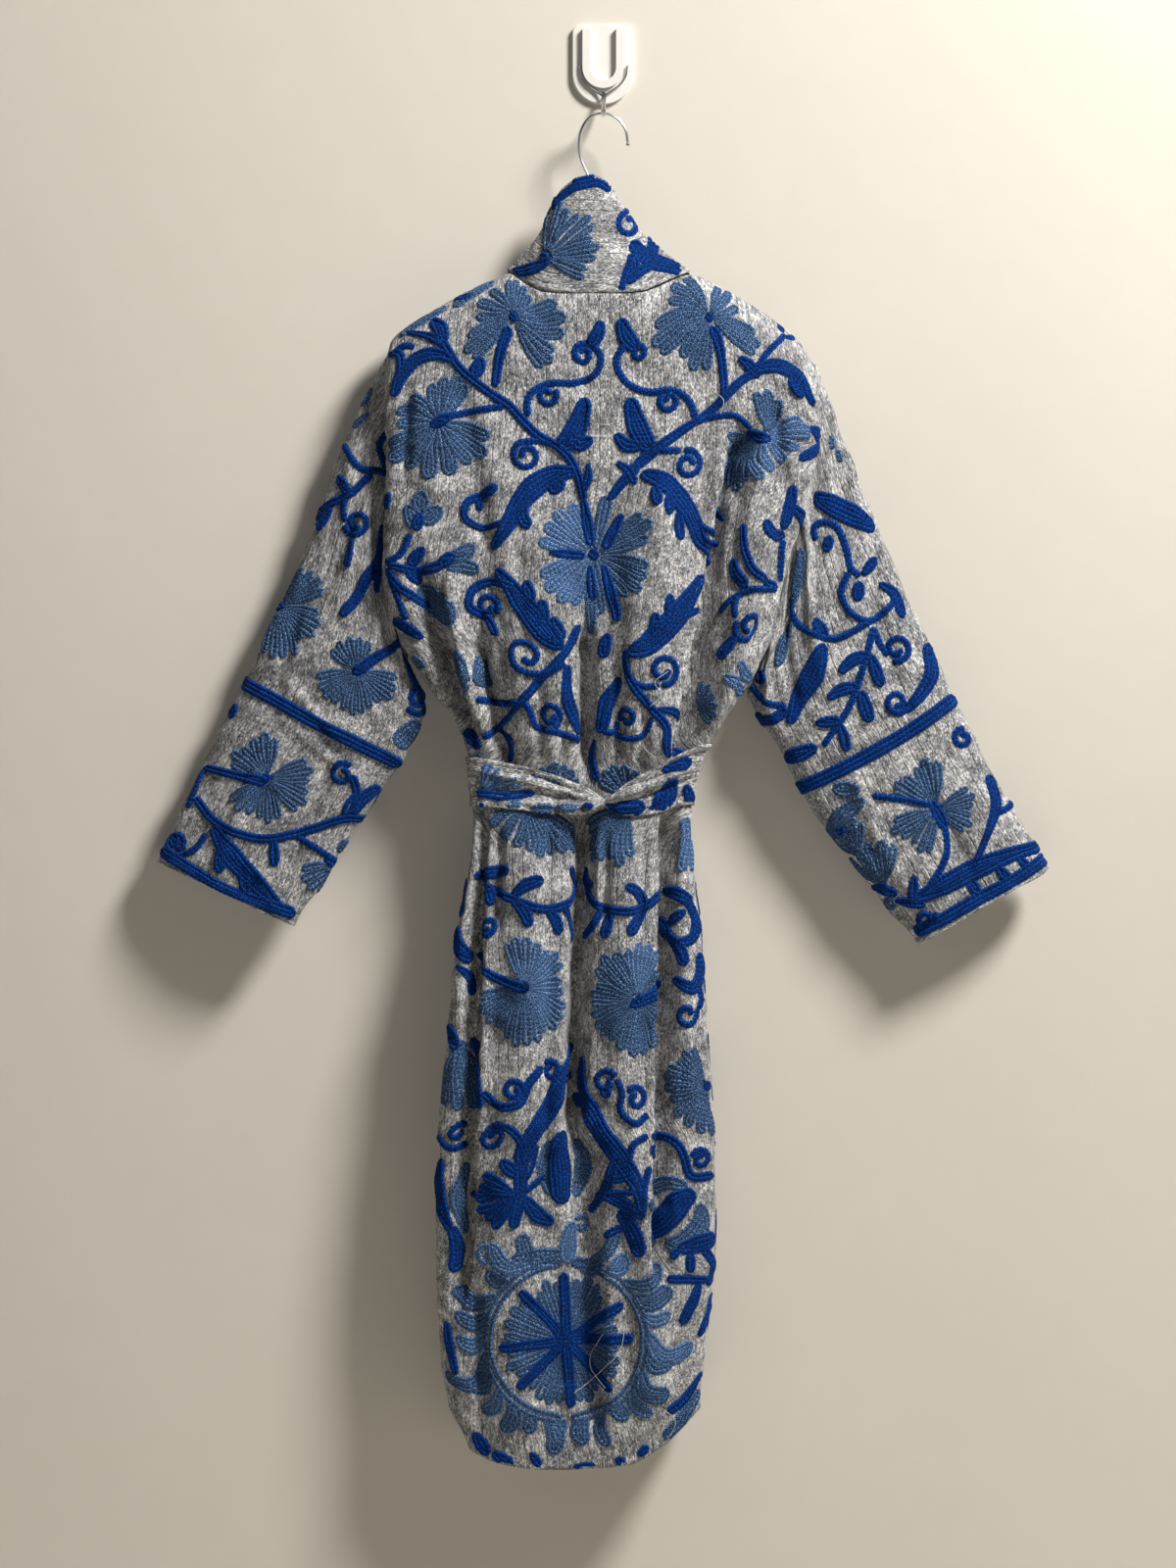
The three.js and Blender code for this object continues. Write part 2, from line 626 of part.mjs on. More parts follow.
function wallPlate() {
  const { left, right, top: high, corner, deep, bevel } = plate;
  const foot = (right - left) / 2 - bevel;
  const across = (left + right) / 2;
  const outline = new THREE.Shape();
  outline.moveTo(left + bevel, -41.5 + (right - left) / 2);
  outline.absarc(across, -41.5 + (right - left) / 2, foot, Math.PI, 2 * Math.PI, false);
  outline.lineTo(right - bevel, high - corner);
  outline.absarc(right - corner, high - corner, corner - bevel, 0, Math.PI / 2, false);
  outline.absarc(left + corner, high - corner, corner - bevel, Math.PI / 2, Math.PI, false);
  const board = new THREE.ExtrudeGeometry(outline, {
    depth: deep - 2 * bevel, bevelThickness: bevel, bevelSize: bevel, bevelSegments: 2,
    curveSegments: 14,
  });
  board.rotateX(Math.PI / 2);
  board.translate(0, -bevel, 0);
  const { outer, inner, middle, arc } = cradle;
  const rim = new THREE.Shape();
  rim.moveTo(middle - outer, cradle.top);
  rim.lineTo(middle - outer, arc);
  rim.absarc(middle, arc, outer, Math.PI, 2 * Math.PI, false);
  rim.lineTo(middle + outer, cradle.top);
  rim.lineTo(middle + inner, cradle.top);
  rim.lineTo(middle + inner, arc);
  rim.absarc(middle, arc, inner, 0, Math.PI, true);
  rim.lineTo(middle - inner, cradle.top);
  const raised = new THREE.ExtrudeGeometry(rim, {
    depth: cradle.deep + 1, bevelEnabled: false, curveSegments: 14,
  });
  raised.rotateX(Math.PI / 2);
  raised.translate(0, -deep + 1, 0);
  return joined(board, raised);
}

// one wire, bent double into a hook and spread under the cradle to both of its sides
const wallWire = 1.1;
const bowl = { radius: 21, bottom: hookTop - hookWire - 0.3 - wallWire };

function wallHook() {
  const back = hangerPlane + bowl.radius;
  const middle = bowl.bottom + bowl.radius;
  const side = (offset, reach) => [
    [1 + reach * 24.4, -6.6, -2], [1 + reach * 23.2, -6.6, -12], [1 + reach * 17, -6.6, -21.5],
    [1 + reach * 8, -7, -28.5], [1 + offset, -8.4, -33.5],
    ...rowLevels(0, 170, 8).map((angle) => {
      const turn = THREE.MathUtils.degToRad(angle);
      return [
        1 + offset,
        back - bowl.radius * (1 - Math.cos(turn)),
        middle - bowl.radius * Math.sin(turn),
      ];
    }),
  ];
  const left = side(-1.2, -1);
  const right = side(1.2, 1).reverse();
  const tipY = back - 2 * bowl.radius;
  return wire([...left, [1, tipY - 0.4, middle + 2.4], ...right], wallWire, 110);
}

add("back_panel", backPanel(), makeCloth(0.35));
add("front_left", frontPanel(-1), makeCloth(0.3));
add("front_right", frontPanel(1), makeCloth(0.3));
add("band_left", frontBand(-1), makeCloth(0.4));
add("band_right", frontBand(1), makeCloth(0.4));
add("collar", collar(), makeCloth(0.4));
add("sleeve_left", sleeve(-1), makeCloth(0.35));
add("sleeve_right", sleeve(1), makeCloth(0.35));
add("belt", belt(), makeCloth(0.2));
add("belt_knot", beltKnot(), makeCloth(0.2));
add("belt_tail_left", beltTail(leftTailRows), makeCloth(0.2));
add("belt_tail_right", beltTail(rightTailRows), makeCloth(0.2));
add("hanger_bar", hangerBar(), wood);
add("hanger_hook", hangerHook(), steel);
add("wall_plate", wallPlate(), plastic);
add("wall_hook", wallHook(), steel);

export default robe;
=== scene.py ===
import math

import bpy
import numpy as np
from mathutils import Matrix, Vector, kdtree


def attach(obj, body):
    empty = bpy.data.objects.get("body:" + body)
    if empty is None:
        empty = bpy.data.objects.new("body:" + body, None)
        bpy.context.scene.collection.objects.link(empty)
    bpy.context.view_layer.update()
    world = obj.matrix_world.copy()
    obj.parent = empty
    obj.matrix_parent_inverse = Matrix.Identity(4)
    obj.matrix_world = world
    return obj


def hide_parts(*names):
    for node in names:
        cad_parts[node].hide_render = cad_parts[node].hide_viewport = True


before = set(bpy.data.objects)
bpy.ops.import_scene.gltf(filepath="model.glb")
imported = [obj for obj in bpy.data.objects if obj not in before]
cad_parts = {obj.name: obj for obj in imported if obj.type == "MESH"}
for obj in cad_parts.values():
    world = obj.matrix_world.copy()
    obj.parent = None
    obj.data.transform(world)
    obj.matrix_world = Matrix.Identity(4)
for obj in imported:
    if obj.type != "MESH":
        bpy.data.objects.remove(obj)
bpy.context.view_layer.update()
print("frame loaded")

mm = 0.001
random = np.random.default_rng(12)


def table(names, *rows):
    return {name: np.array([row[i] for row in rows], float) for i, name in enumerate(names.split())}


# outline of the robe by height, in mm: same sizes as the solids
bodyRows = table(
    "z left right back front seam tuckLeft tuckRight",
    [-216, -223, 219, -66, -12, -31, 0, 0], [-306, -223, 219, -68, -10, -31, 0, 0],
    [-343, -223, 222, -72, -8, -31, 12, 10], [-413, -221, 219, -78, -6, -31, 18, 18],
    [-450, -222, 212, -80, -6, -31, 20, 18], [-483, -224, 201, -82, -6, -31, 22, 18],
    [-516, -225, 190, -84, -6, -31, 26, 18], [-566, -218, 179, -87, -6, -32, 30, 20],
    [-600, -206, 170, -88, -7, -34, 28, 24], [-642, -179, 148, -88, -10, -38, 18, 20],
    [-687, -146, 119, -86, -16, -43, 6, 8], [-722, -136, 98, -82, -24, -48, 0, 0],
    [-748, -133, 92, -79, -28, -50, 0, 0], [-783, -132, 90, -82, -22, -50, 0, 0],
    [-843, -138, 94, -90, -14, -50, 0, 0], [-893, -148, 100, -95, -10, -50, 0, 0],
    [-993, -158, 106, -100, -7, -50, 0, 0], [-1083, -167, 113, -103, -6, -50, 0, 0],
    [-1183, -170, 115, -104, -6, -50, 0, 0], [-1323, -166, 104, -103, -6, -50, 0, 0],
    [-1383, -156, 98, -101, -7, -50, 0, 0], [-1440, -132, 92, -98, -8, -50, 0, 0],
)
# line of the shoulders and the neck, and of the hem, across the view
topRows = table(
    "x z y",
    [-223, -306, -31], [-217, -288, -31], [-198, -271, -31], [-168, -253, -31],
    [-138, -236, -31], [-105, -222, -31], [-96, -219, -34], [-84, -227, -43],
    [-72, -235, -52], [-60, -240, -58], [-36, -242, -63], [-10, -242, -65],
    [16, -242, -63], [40, -240, -58], [56, -234, -50], [72, -226, -40],
    [89, -220, -32], [127, -236, -31], [162, -257, -31], [182, -271, -31],
    [203, -290, -31], [219, -312, -31],
)
hemRows = table(
    "x z",
    [-170, -1384], [-152, -1404], [-130, -1424], [-100, -1435], [-60, -1440], [0, -1438],
    [30, -1434], [55, -1420], [75, -1404], [98, -1378], [116, -1356],
)

robe = {
    "neckTop": -242, "hemTop": -1438, "beltHeight": -748, "hangerPlane": -31, "seamGap": 0.3,
    "armholeFoot": -562, "gapeBack": 15, "gapeFront": 8, "squareness": 3.2, "rollShare": 0.45,
    "arch": 62, "tube": 2.4, "cloth": 1.7, "neckReach": 190, "hemReach": 260,
    "foldFade": 60, "foldFadeMost": 0.3, "foldEdge": 9,
}

# the solids' folds, then the finer ones: ends, half width, depth away from the wall, lean
backFolds = table(
    "top bottom xTop xBottom half depth lean",
    [-560, -752, -16, -14, 13, -21, -6], [-745, -1130, -16, -30, 16, -29, -6],
    [-360, -748, 154, 80, 20, -30, -20], [-452, -716, 174, 106, 17, 10, 8],
    [-500, -716, -196, -136, 18, -14, 4], [-505, -712, -158, -116, 15, 9, -10],
    [-745, -1290, -126, -146, 13, -16, 10], [-745, -1270, 70, 60, 13, -23, -14],
    [-778, -1130, -72, -84, 42, 11, 0], [-784, -1210, 26, 22, 38, 11, 0],
    [-1010, -1430, -100, -90, 38, 8, 0], [-1040, -1420, 44, 52, 32, 10, 0],
    [-1080, -1420, -22, -12, 26, -14, 0], [-410, -752, 58, 46, 56, 13, 0],
    [-430, -750, -66, -60, 48, 11, 0], [-560, -735, -140, -98, 12, -12, 6],
    [-330, -470, 172, 186, 14, -7, 0], [-318, -450, -196, -205, 12, -6, 0],
    # finer folds: gathers over the belt, under it, pulls from the shoulders
    [-640, -738, -100, -94, 9, -6, 0], [-618, -736, -66, -62, 10, -6, 2],
    [-650, -738, -42, -40, 8, -5, 0], [-600, -736, 14, 18, 10, -6, 0],
    [-650, -740, 44, 40, 9, -6, 0], [-775, -905, -104, -108, 9, -7, 0],
    [-775, -880, -52, -58, 9, -5, 0], [-778, -900, 4, 2, 8, -5, 0],
    [-780, -920, 40, 38, 10, -7, 0], [-300, -520, -150, -118, 20, -5, 0],
    [-420, -690, -110, -84, 18, 5.5, 0], [-350, -600, 70, 40, 22, 4, 0],
    [-520, -700, -40, -46, 14, 4.5, 0], [-480, -660, 28, 34, 16, 4.5, 0],
    [-300, -500, -60, -50, 26, -4, 0], [-310, -560, 110, 92, 16, -5, 0],
    [-1180, -1436, -46, -40, 22, -6, 0], [-1160, -1436, 6, 10, 20, 6, 0],
    [-1220, -1436, -130, -120, 12, -6, 0], [-900, -1150, -120, -126, 14, 6, 0],
    [-880, -1100, 84, 92, 12, 5, 0], [-940, -1180, 44, 40, 12, -5, 0],
    [-530, -735, -128, -104, 8, -6, 0], [-560, -730, -176, -124, 9, -7, 6],
    [-420, -560, 132, 120, 9, 5, 0], [-380, -500, -30, -24, 16, -4, 0],
    [-260, -420, -18, -20, 9, -3, 0], [-880, -1180, -52, -60, 11, -5, 0],
)
frontFolds = table(
    "top bottom xTop xBottom half depth lean",
    [-400, -745, -150, -92, 20, -8, 0], [-430, -745, 130, 66, 18, -8, 0],
    [-752, -1400, -100, -114, 18, -9, 0], [-752, -1400, 66, 78, 18, -9, 0],
    [-300, -520, -160, -130, 22, -3, 0], [-560, -740, -110, -84, 12, -4, 0],
    [-560, -740, 90, 72, 12, -4, 0], [-770, -1000, -76, -84, 12, -3, 0],
)
folds = {-1: backFolds, 1: frontFolds}
# seam and free edge of the front bands by height
leftBandRows = table(
    "z seam free",
    [-219, -98, -42], [-262, -98, -34], [-330, -92, -18], [-450, -74, 8], [-600, -50, 30],
    [-748, -34, 44], [-900, -36, 44], [-1150, -42, 40], [-1440, -44, 36],
)
rightBandRows = table(
    "z seam free",
    [-219, 91, 12], [-262, 91, 8], [-330, 86, 12], [-450, 68, -12], [-600, 40, -38],
    [-748, 8, -70], [-900, 8, -72], [-1150, 10, -70], [-1440, 10, -66],
)


def smooth(t):
    s = np.clip(t, 0, 1)
    return s * s * (3 - 2 * s)


def mix(a, b, t):
    return a + (b - a) * t


def sideName(side):
    return "left" if side < 0 else "right"


# length along a line of points, from its first point to each
def lengthAlong(points):
    return np.concatenate([[0], np.cumsum(np.linalg.norm(np.diff(points, axis=0), axis=-1))])


# smooth curve through a column of a table, with no overshoot between its rows
def track(at, value):
    order = np.argsort(at)
    at, value = at[order], value[order]
    rise = np.diff(value) / np.diff(at)
    slope = np.zeros(len(at))
    pair = rise[:-1] * rise[1:]
    total = np.where(np.abs(rise[:-1] + rise[1:]) < 1e-9, 1, rise[:-1] + rise[1:])
    slope[1:-1] = np.where(pair > 0, 2 * pair / total, 0)

    def read(place):
        p = np.clip(place, at[0], at[-1])
        i = np.clip(np.searchsorted(at, p, side="right") - 1, 0, len(at) - 2)
        step = at[i + 1] - at[i]
        t = (p - at[i]) / step
        u = 1 - t
        return (u * u * (1 + 2 * t) * value[i] + t * t * (1 + 2 * u) * value[i + 1]
                + step * t * u * (u * slope[i] - t * slope[i + 1]))
    return read


# a curve for every other column of a table, read by one of them
def tracks(rows, along):
    return {name: track(rows[along], rows[name]) for name in rows if name != along}


body, top, hem = tracks(bodyRows, "z"), tracks(topRows, "x"), tracks(hemRows, "x")
bandTracks = {-1: tracks(leftBandRows, "z"), 1: tracks(rightBandRows, "z")}


# height at x of a row named by its level: level rows, but bent to the shoulders and to the hem
def heightAt(x, level):
    fromTop = 1 - smooth((robe["neckTop"] - level) / robe["neckReach"])
    fromHem = 1 - smooth((level - robe["hemTop"]) / robe["hemReach"])
    return (level + (top["z"](x) - robe["neckTop"]) * fromTop
            + (hem["z"](x) - robe["hemTop"]) * fromHem)


# roundness of a tube's half across its width, from 0 at its edges to 1 in its middle
def roundShare(along):
    off = np.clip(np.abs(2 * along - 1), 0, 1)
    return (1 - off ** robe["tube"]) ** (1 / robe["tube"])


# how far the armhole gapes at height z
def gapeAt(z, face, q):
    tip = np.where(q < 0, topRows["z"][0], topRows["z"][-1])
    gape = robe["gapeBack"] if face < 0 else robe["gapeFront"]
    return gape * roundShare((tip - z) / (tip - robe["armholeFoot"]))


# points of the back (face -1) or of the fronts (face 1); q runs across from side to side
# between -1 and 1, and past that on the side tucked in at the armhole
def rowPoint(face, level, q):
    level, q = np.broadcast_arrays(np.asarray(level, float), np.asarray(q, float))
    across = np.clip(q, -1, 1)
    z = level.copy()
    for _ in range(3):
        left, right = body["left"](z), body["right"](z)
        x = (left + right) / 2 + across * (right - left) / 2
        z = heightAt(x, level)
    seam = body["seam"](z)
    depth = body["back" if face < 0 else "front"](z)
    roll = seam + (depth - seam) * robe["rollShare"]
    crown = (1 - np.abs(across) ** robe["squareness"]) ** (1 / robe["squareness"])
    y = roll + (depth - roll) * crown
    shape = folds[face]
    inside = smooth((1 - np.abs(across)) * robe["foldEdge"])
    for i in range(len(shape["top"])):
        length = shape["top"][i] - shape["bottom"][i]
        down = (shape["top"][i] - z) / length
        fade = min(robe["foldFadeMost"], robe["foldFade"] / length)
        share = smooth(down / fade) * smooth((1 - down) / fade)
        off = (x - mix(shape["xTop"][i], shape["xBottom"][i], down)) / shape["half"][i]
        bump = np.where(np.abs(off) < 1, share * np.cos(off * math.pi / 2) ** 2, 0) * inside
        x = x + shape["lean"][i] * bump
        y = y + face * shape["depth"][i] * bump
    ridge = (face > 0) | (np.abs(top["y"](x) - robe["hangerPlane"]) < 1)
    rest = np.where(ridge, robe["hangerPlane"] + face * robe["seamGap"] / 2, top["y"](x))
    drop = np.clip((top["z"](x) - z) / robe["arch"], 0, 1)
    y = mix(rest, y, np.sqrt(1 - (1 - drop) ** 2))
    past = np.clip(np.abs(q) - 1, 0, 1)
    tuck = np.where(q < 0, body["tuckLeft"](z), body["tuckRight"](z))
    x = x - np.sign(q) * tuck * past
    y = mix(y, seam + face * (gapeAt(z, face, q) + robe["seamGap"] / 2), past)
    return np.stack([x, y, z], -1)


# the place across a row that passes through x
def acrossAt(x, level):
    z = heightAt(x, level)
    return (x - body["left"](z)) / ((body["right"](z) - body["left"](z)) / 2) - 1


# soft unevenness of cloth: a few seeded waves of about this length
def softNoise(a, b, length, count=9):
    total = np.zeros(np.broadcast(a, b).shape)
    for _ in range(count):
        turn = random.uniform(0, 2 * math.pi)
        pitch = 2 * math.pi / (length * random.uniform(0.7, 1.5))
        total += np.sin((a * math.cos(turn) + b * math.sin(turn)) * pitch + random.uniform(0, 6.3))
    return total / math.sqrt(count)


def normalsOf(grid, tube=False):
    if tube:
        left, right = np.roll(grid, 1, axis=1), np.roll(grid, -1, axis=1)
    else:
        left = np.concatenate([grid[:, :1], grid[:, :-1]], 1)
        right = np.concatenate([grid[:, 1:], grid[:, -1:]], 1)
    up = np.concatenate([grid[:1], grid[:-1]], 0)
    down = np.concatenate([grid[1:], grid[-1:]], 0)
    normal = np.cross(right - left, down - up)
    length = np.linalg.norm(normal, axis=-1, keepdims=True)
    return normal / np.where(length < 1e-9, 1, length)


# places across a row, crowded where the cloth turns at the sides
turnPlaces = 1 - np.linspace(0, 0.62, 46) ** robe["squareness"]
rowPlaces = np.sort(np.concatenate([np.linspace(-2, 2, 441), turnPlaces, -turnPlaces]))


# rows of even steps along the cloth, with how far each row's ends are from its middle place
def clothGrid(face, levels, qFrom, qTo, columns, middle=0.0):
    low = np.broadcast_to(np.minimum(qFrom, qTo), levels.shape)[:, None]
    high = np.broadcast_to(np.maximum(qFrom, qTo), levels.shape)[:, None]
    places = np.clip(rowPlaces[None, :], low, high)
    if np.mean(qFrom) > np.mean(qTo):
        places = places[:, ::-1]
    return evenGrid(rowPoint(face, levels[:, None], places), columns, places, middle)


# even steps along each row of points
def evenGrid(fine, columns, places=None, middle=0.0):
    steps = np.linalg.norm(np.diff(fine, axis=1), axis=-1)
    reach = np.concatenate([np.zeros((len(fine), 1)), np.cumsum(steps, 1)], 1)
    grid = np.empty((len(fine), columns, 3))
    ends = np.empty((len(fine), 2))
    for i in range(len(fine)):
        at = np.linspace(0, reach[i, -1], columns)
        for axis in range(3):
            grid[i, :, axis] = np.interp(at, reach[i], fine[i, :, axis])
        zero = 0
        if places is not None:
            zero = reach[i, np.argmin(np.abs(places[i] - middle))]
        ends[i] = (-zero, reach[i, -1] - zero)
    return grid, ends


def linkObject(name, mesh, material, body="root"):
    piece = bpy.data.objects.new(name, mesh)
    bpy.context.scene.collection.objects.link(piece)
    mesh.materials.append(material)
    if body:
        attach(piece, body)
    return piece


def fillMesh(name, points, faces, uv=None):
    mesh = bpy.data.meshes.new(name)
    mesh.from_pydata((np.asarray(points) * mm).tolist(), [], np.asarray(faces).tolist())
    if uv is not None:
        layer = mesh.uv_layers.new(name="cloth")
        corner = np.empty(len(mesh.loops), np.int32)
        mesh.loops.foreach_get("vertex_index", corner)
        layer.data.foreach_set("uv", np.asarray(uv)[corner].astype(np.float32).ravel())
    mesh.shade_smooth()
    return mesh


# four-sided faces between the points of a grid, closed round its rows for a tube
def gridFaces(rows, columns, tube=False):
    index = np.arange(rows * columns).reshape(rows, columns)
    right = np.roll(index, -1, axis=1)
    if not tube:
        index, right = index[:, :-1], right[:, :-1]
    return np.stack([index[:-1], index[1:], right[1:], right[:-1]], -1).reshape(-1, 4)


# cloth piece: a thin shell whose outer face is the grid, thickened inwards
def clothPiece(name, grid, flat, material, outward, tube=False, thickness=robe["cloth"]):
    faces = gridFaces(*grid.shape[:2], tube)
    if outward < 0:
        faces = faces[:, [0, 3, 2, 1]]
    mesh = fillMesh(name, grid.reshape(-1, 3), faces, flat.reshape(-1, 2) * mm)
    piece = linkObject(name, mesh, material)
    shell = piece.modifiers.new("cloth thickness", "SOLIDIFY")
    shell.thickness = thickness * mm
    shell.offset = -1
    shell.use_rim = True
    return piece


# flat place of every point of a grid
def flatOf(levels, ends, columns):
    u = mix(ends[:, :1], ends[:, 1:], np.linspace(0, 1, columns)[None, :])
    return np.stack([u, np.broadcast_to(levels[:, None], u.shape)], -1)


# every panel keeps its grid, its normals and its flat sizes, for the embroidery to lie on
panels = {}


def keepPanel(name, grid, levels, ends, outward, tube=False):
    normals = -normalsOf(grid, tube) * outward
    flat = flatOf(levels, ends, grid.shape[1] + tube)[:, :grid.shape[1]]
    panels[name] = {"grid": grid, "normals": normals, "levels": levels, "ends": ends,
                    "flat": flat, "tube": tube}
    return flat


# rows of the body's panels, crowded under the neck line
rowSizes = {"neckDepth": 60, "neckRows": 26, "crowd": 1.9, "step": 6, "rows": 216}
neckEnd = robe["neckTop"] - rowSizes["neckDepth"]
levels = np.concatenate([
    mix(robe["neckTop"], neckEnd, np.linspace(0, 1, rowSizes["neckRows"]) ** rowSizes["crowd"]),
    np.linspace(neckEnd - rowSizes["step"], robe["hemTop"], rowSizes["rows"])])
underNeck = (levels[0] - levels) / 30  # share of a ruffle that the rows under the neck line allow


# small unevenness pressed into a grid along its normals
def ruffle(grid, flat, outward, amount, length, keep, tube=False):
    bump = softNoise(flat[..., 0], flat[..., 1], length) * amount
    bump += softNoise(flat[..., 0], flat[..., 1], length * 0.4) * amount * 0.35
    return grid + normalsOf(grid, tube) * outward * (bump * keep)[..., None]


# share of the ruffle kept across a panel, from nothing at its side edges and its top
def ruffleShare(columns, steepness, drop):
    edge = np.linspace(-1, 1, columns)[None, :]
    return smooth((1 - np.abs(edge)) * steepness) * smooth(drop)[:, None]


backSizes = {"columns": 150, "ruffle": 0.9, "wave": 46, "edge": 14, "beltCalm": 60, "beltShare": 0.3}
# short creases pressed across the back: height, from and to, depth
pressedCreases = [(-348, 10, 84, 1.6), (-300, -70, 20, 0.7), (-1212, -30, 60, 1.5)]
creaseSizes = {"width": 5, "fade": 14}


def backPanel(material):
    size, fade = backSizes, creaseSizes["fade"]
    grid, ends = clothGrid(-1, levels, -2, 2, size["columns"])
    flat = flatOf(levels, ends, size["columns"])
    offBelt = smooth(np.abs(grid[..., 2] - robe["beltHeight"]) / size["beltCalm"])
    keep = ruffleShare(size["columns"], size["edge"], underNeck) * mix(size["beltShare"], 1, offBelt)
    grid = ruffle(grid, flat, 1, size["ruffle"], size["wave"], keep)
    x = grid[..., 0]
    for z, fromX, toX, depth in pressedCreases:
        line = np.exp(-((levels[:, None] - z) / creaseSizes["width"]) ** 2)
        grid[..., 1] += line * depth * smooth((x - fromX) / fade) * smooth((toX - x) / fade)
    keepPanel("back", grid, levels, ends, 1)
    return clothPiece("robe_back", grid, flat, material, 1)


wrap = {"step": 4.6, "x": 88, "fadeX": 38, "z": -330, "fadeZ": 60}


# the right front lies under the left one, so near the middle it steps inwards
def underShift(point, side):
    if side > 0:
        across = smooth((wrap["x"] - point[..., 0]) / wrap["fadeX"])
        point[..., 1] -= wrap["step"] * (across * smooth((wrap["z"] - point[..., 2]) / wrap["fadeZ"]))
    return point


frontSizes = {"columns": 56, "ruffle": 0.35, "wave": 50, "edge": 8}
bandSizes = {"columns": 16, "top": -330, "neckRows": 24}


def frontPanel(side, material):
    seam = bandTracks[side]["seam"]
    inner = acrossAt(seam(heightAt(seam(levels), levels)) + side * robe["seamGap"], levels)
    grid, ends = clothGrid(1, levels, 2 * side, inner, frontSizes["columns"], middle=side)
    grid = underShift(grid, side)
    flat = flatOf(levels, ends, frontSizes["columns"])
    keep = ruffleShare(frontSizes["columns"], frontSizes["edge"], underNeck)
    grid = ruffle(grid, flat, side, frontSizes["ruffle"], frontSizes["wave"], keep)
    keepPanel(f"front_{sideName(side)}", grid, levels, ends, side)
    return clothPiece(f"robe_front_{sideName(side)}", grid, flat, material, side)


# seam at the neck and free rim of the collar, from the left front round the back to the right
collarRows = table(
    "seamX seamY seamZ rimX rimY rimZ",
    [-98, -31.5, -215, -47, -26, -160], [-86, -41, -224, -50, -32, -147],
    [-74, -50, -232, -47, -38, -139], [-60, -57.5, -238.4, -39, -43, -130],
    [-36, -62.5, -240.8, -26, -46, -122], [-10, -64.5, -241, -12, -47, -119],
    [16, -62.5, -240.8, -1, -45, -121], [40, -57.5, -238.4, 10, -41, -131],
    [56, -49.5, -232, 17, -36, -143], [72, -39.5, -224, 22, -31, -152],
    [90, -31.5, -216, 22, -26, -164],
)
# first rows of the front bands, from the collar's ends down
neckRows = {
    -1: table("seamX seamY seamZ rimX rimY rimZ", [-98, -30.5, -215, -47, -25, -160],
              [-97, -22, -226, -41, -19, -190], [-97, -16, -252, -33, -15, -232]),
    1: table("seamX seamY seamZ rimX rimY rimZ", [90, -30.5, -216, 22, -25, -164],
             [90, -22, -227, 17, -19, -194], [90, -16, -253, 12, -17, -235]),
}
collarSizes = {"rows": 120, "columns": 34, "swell": 1.2, "ruffle": 0.5, "wave": 30, "edge": 5}


# smooth curve through points: every column read at places along the rows' count
def through(rows, places):
    count = np.arange(len(rows))
    return np.stack([spline(count, rows[:, i], places) for i in range(rows.shape[1])], -1)


def spline(at, value, place):
    value = np.asarray(value, float)
    slope = np.gradient(value, at)
    i = np.clip(np.searchsorted(at, place, side="right") - 1, 0, len(at) - 2)
    step = at[i + 1] - at[i]
    t = (place - at[i]) / step
    u = 1 - t
    return (u * u * (1 + 2 * t) * value[i] + t * t * (1 + 2 * u) * value[i + 1]
            + step * t * u * (u * slope[i] - t * slope[i + 1]))


def collar(material):
    rows, columns = collarSizes["rows"], collarSizes["columns"]
    knots = np.stack(list(collarRows.values()), -1)
    line = through(knots, np.linspace(0, len(knots) - 1, rows))
    seam, rim = line[:, None, :3], line[:, None, 3:]
    share = np.linspace(0, 1, columns)[None, :, None]
    grid = mix(seam, rim, share)
    grid[..., 1] -= (np.sin(share * math.pi) * collarSizes["swell"])[..., 0]
    along = lengthAlong(grid[:, columns // 2])
    ends = np.stack([np.zeros(rows), np.linalg.norm(rim - seam, axis=-1)[:, 0]], -1)
    flat = flatOf(along, ends, columns)
    keep = ruffleShare(columns, collarSizes["edge"], np.ones(rows))
    grid = ruffle(grid, flat, 1, collarSizes["ruffle"], collarSizes["wave"], keep)
    keepPanel("collar", grid, along, ends, 1)
    return clothPiece("robe_collar", grid, flat, material, 1)


def frontBand(side, material):
    columns = bandSizes["columns"]
    neck, band = neckRows[side], bandTracks[side]
    share = np.linspace(0, 1, columns)
    below = levels[levels < bandSizes["top"]]
    z = heightAt(band["seam"](below), below)
    x = mix(band["seam"](z)[:, None], band["free"](z)[:, None], share[None, :])
    chest = rowPoint(1, below[:, None], acrossAt(x, below[:, None]))
    chest = underShift(chest, side)
    seam = np.stack([neck[name] for name in ("seamX", "seamY", "seamZ")], -1)
    rim = np.stack([neck[name] for name in ("rimX", "rimY", "rimZ")], -1)
    knots = np.concatenate([mix(seam[:, None], rim[:, None], share[None, :, None]), chest[:2]])
    along = lengthAlong(knots[:, 0])
    places = np.linspace(0, along[-2], bandSizes["neckRows"])[:-1]
    start = np.stack([[track(along, knots[:, c, axis])(places) for axis in range(3)]
                      for c in range(columns)]).transpose(2, 0, 1)
    grid = np.concatenate([start, chest])
    down = lengthAlong(grid[:, 0])
    ends = np.stack([np.zeros(len(grid)), np.linalg.norm(grid[:, -1] - grid[:, 0], axis=-1)], -1)
    flat = keepPanel(f"band_{sideName(side)}", grid, -down, ends, side)
    return clothPiece(f"robe_band_{sideName(side)}", grid, flat, material, side)


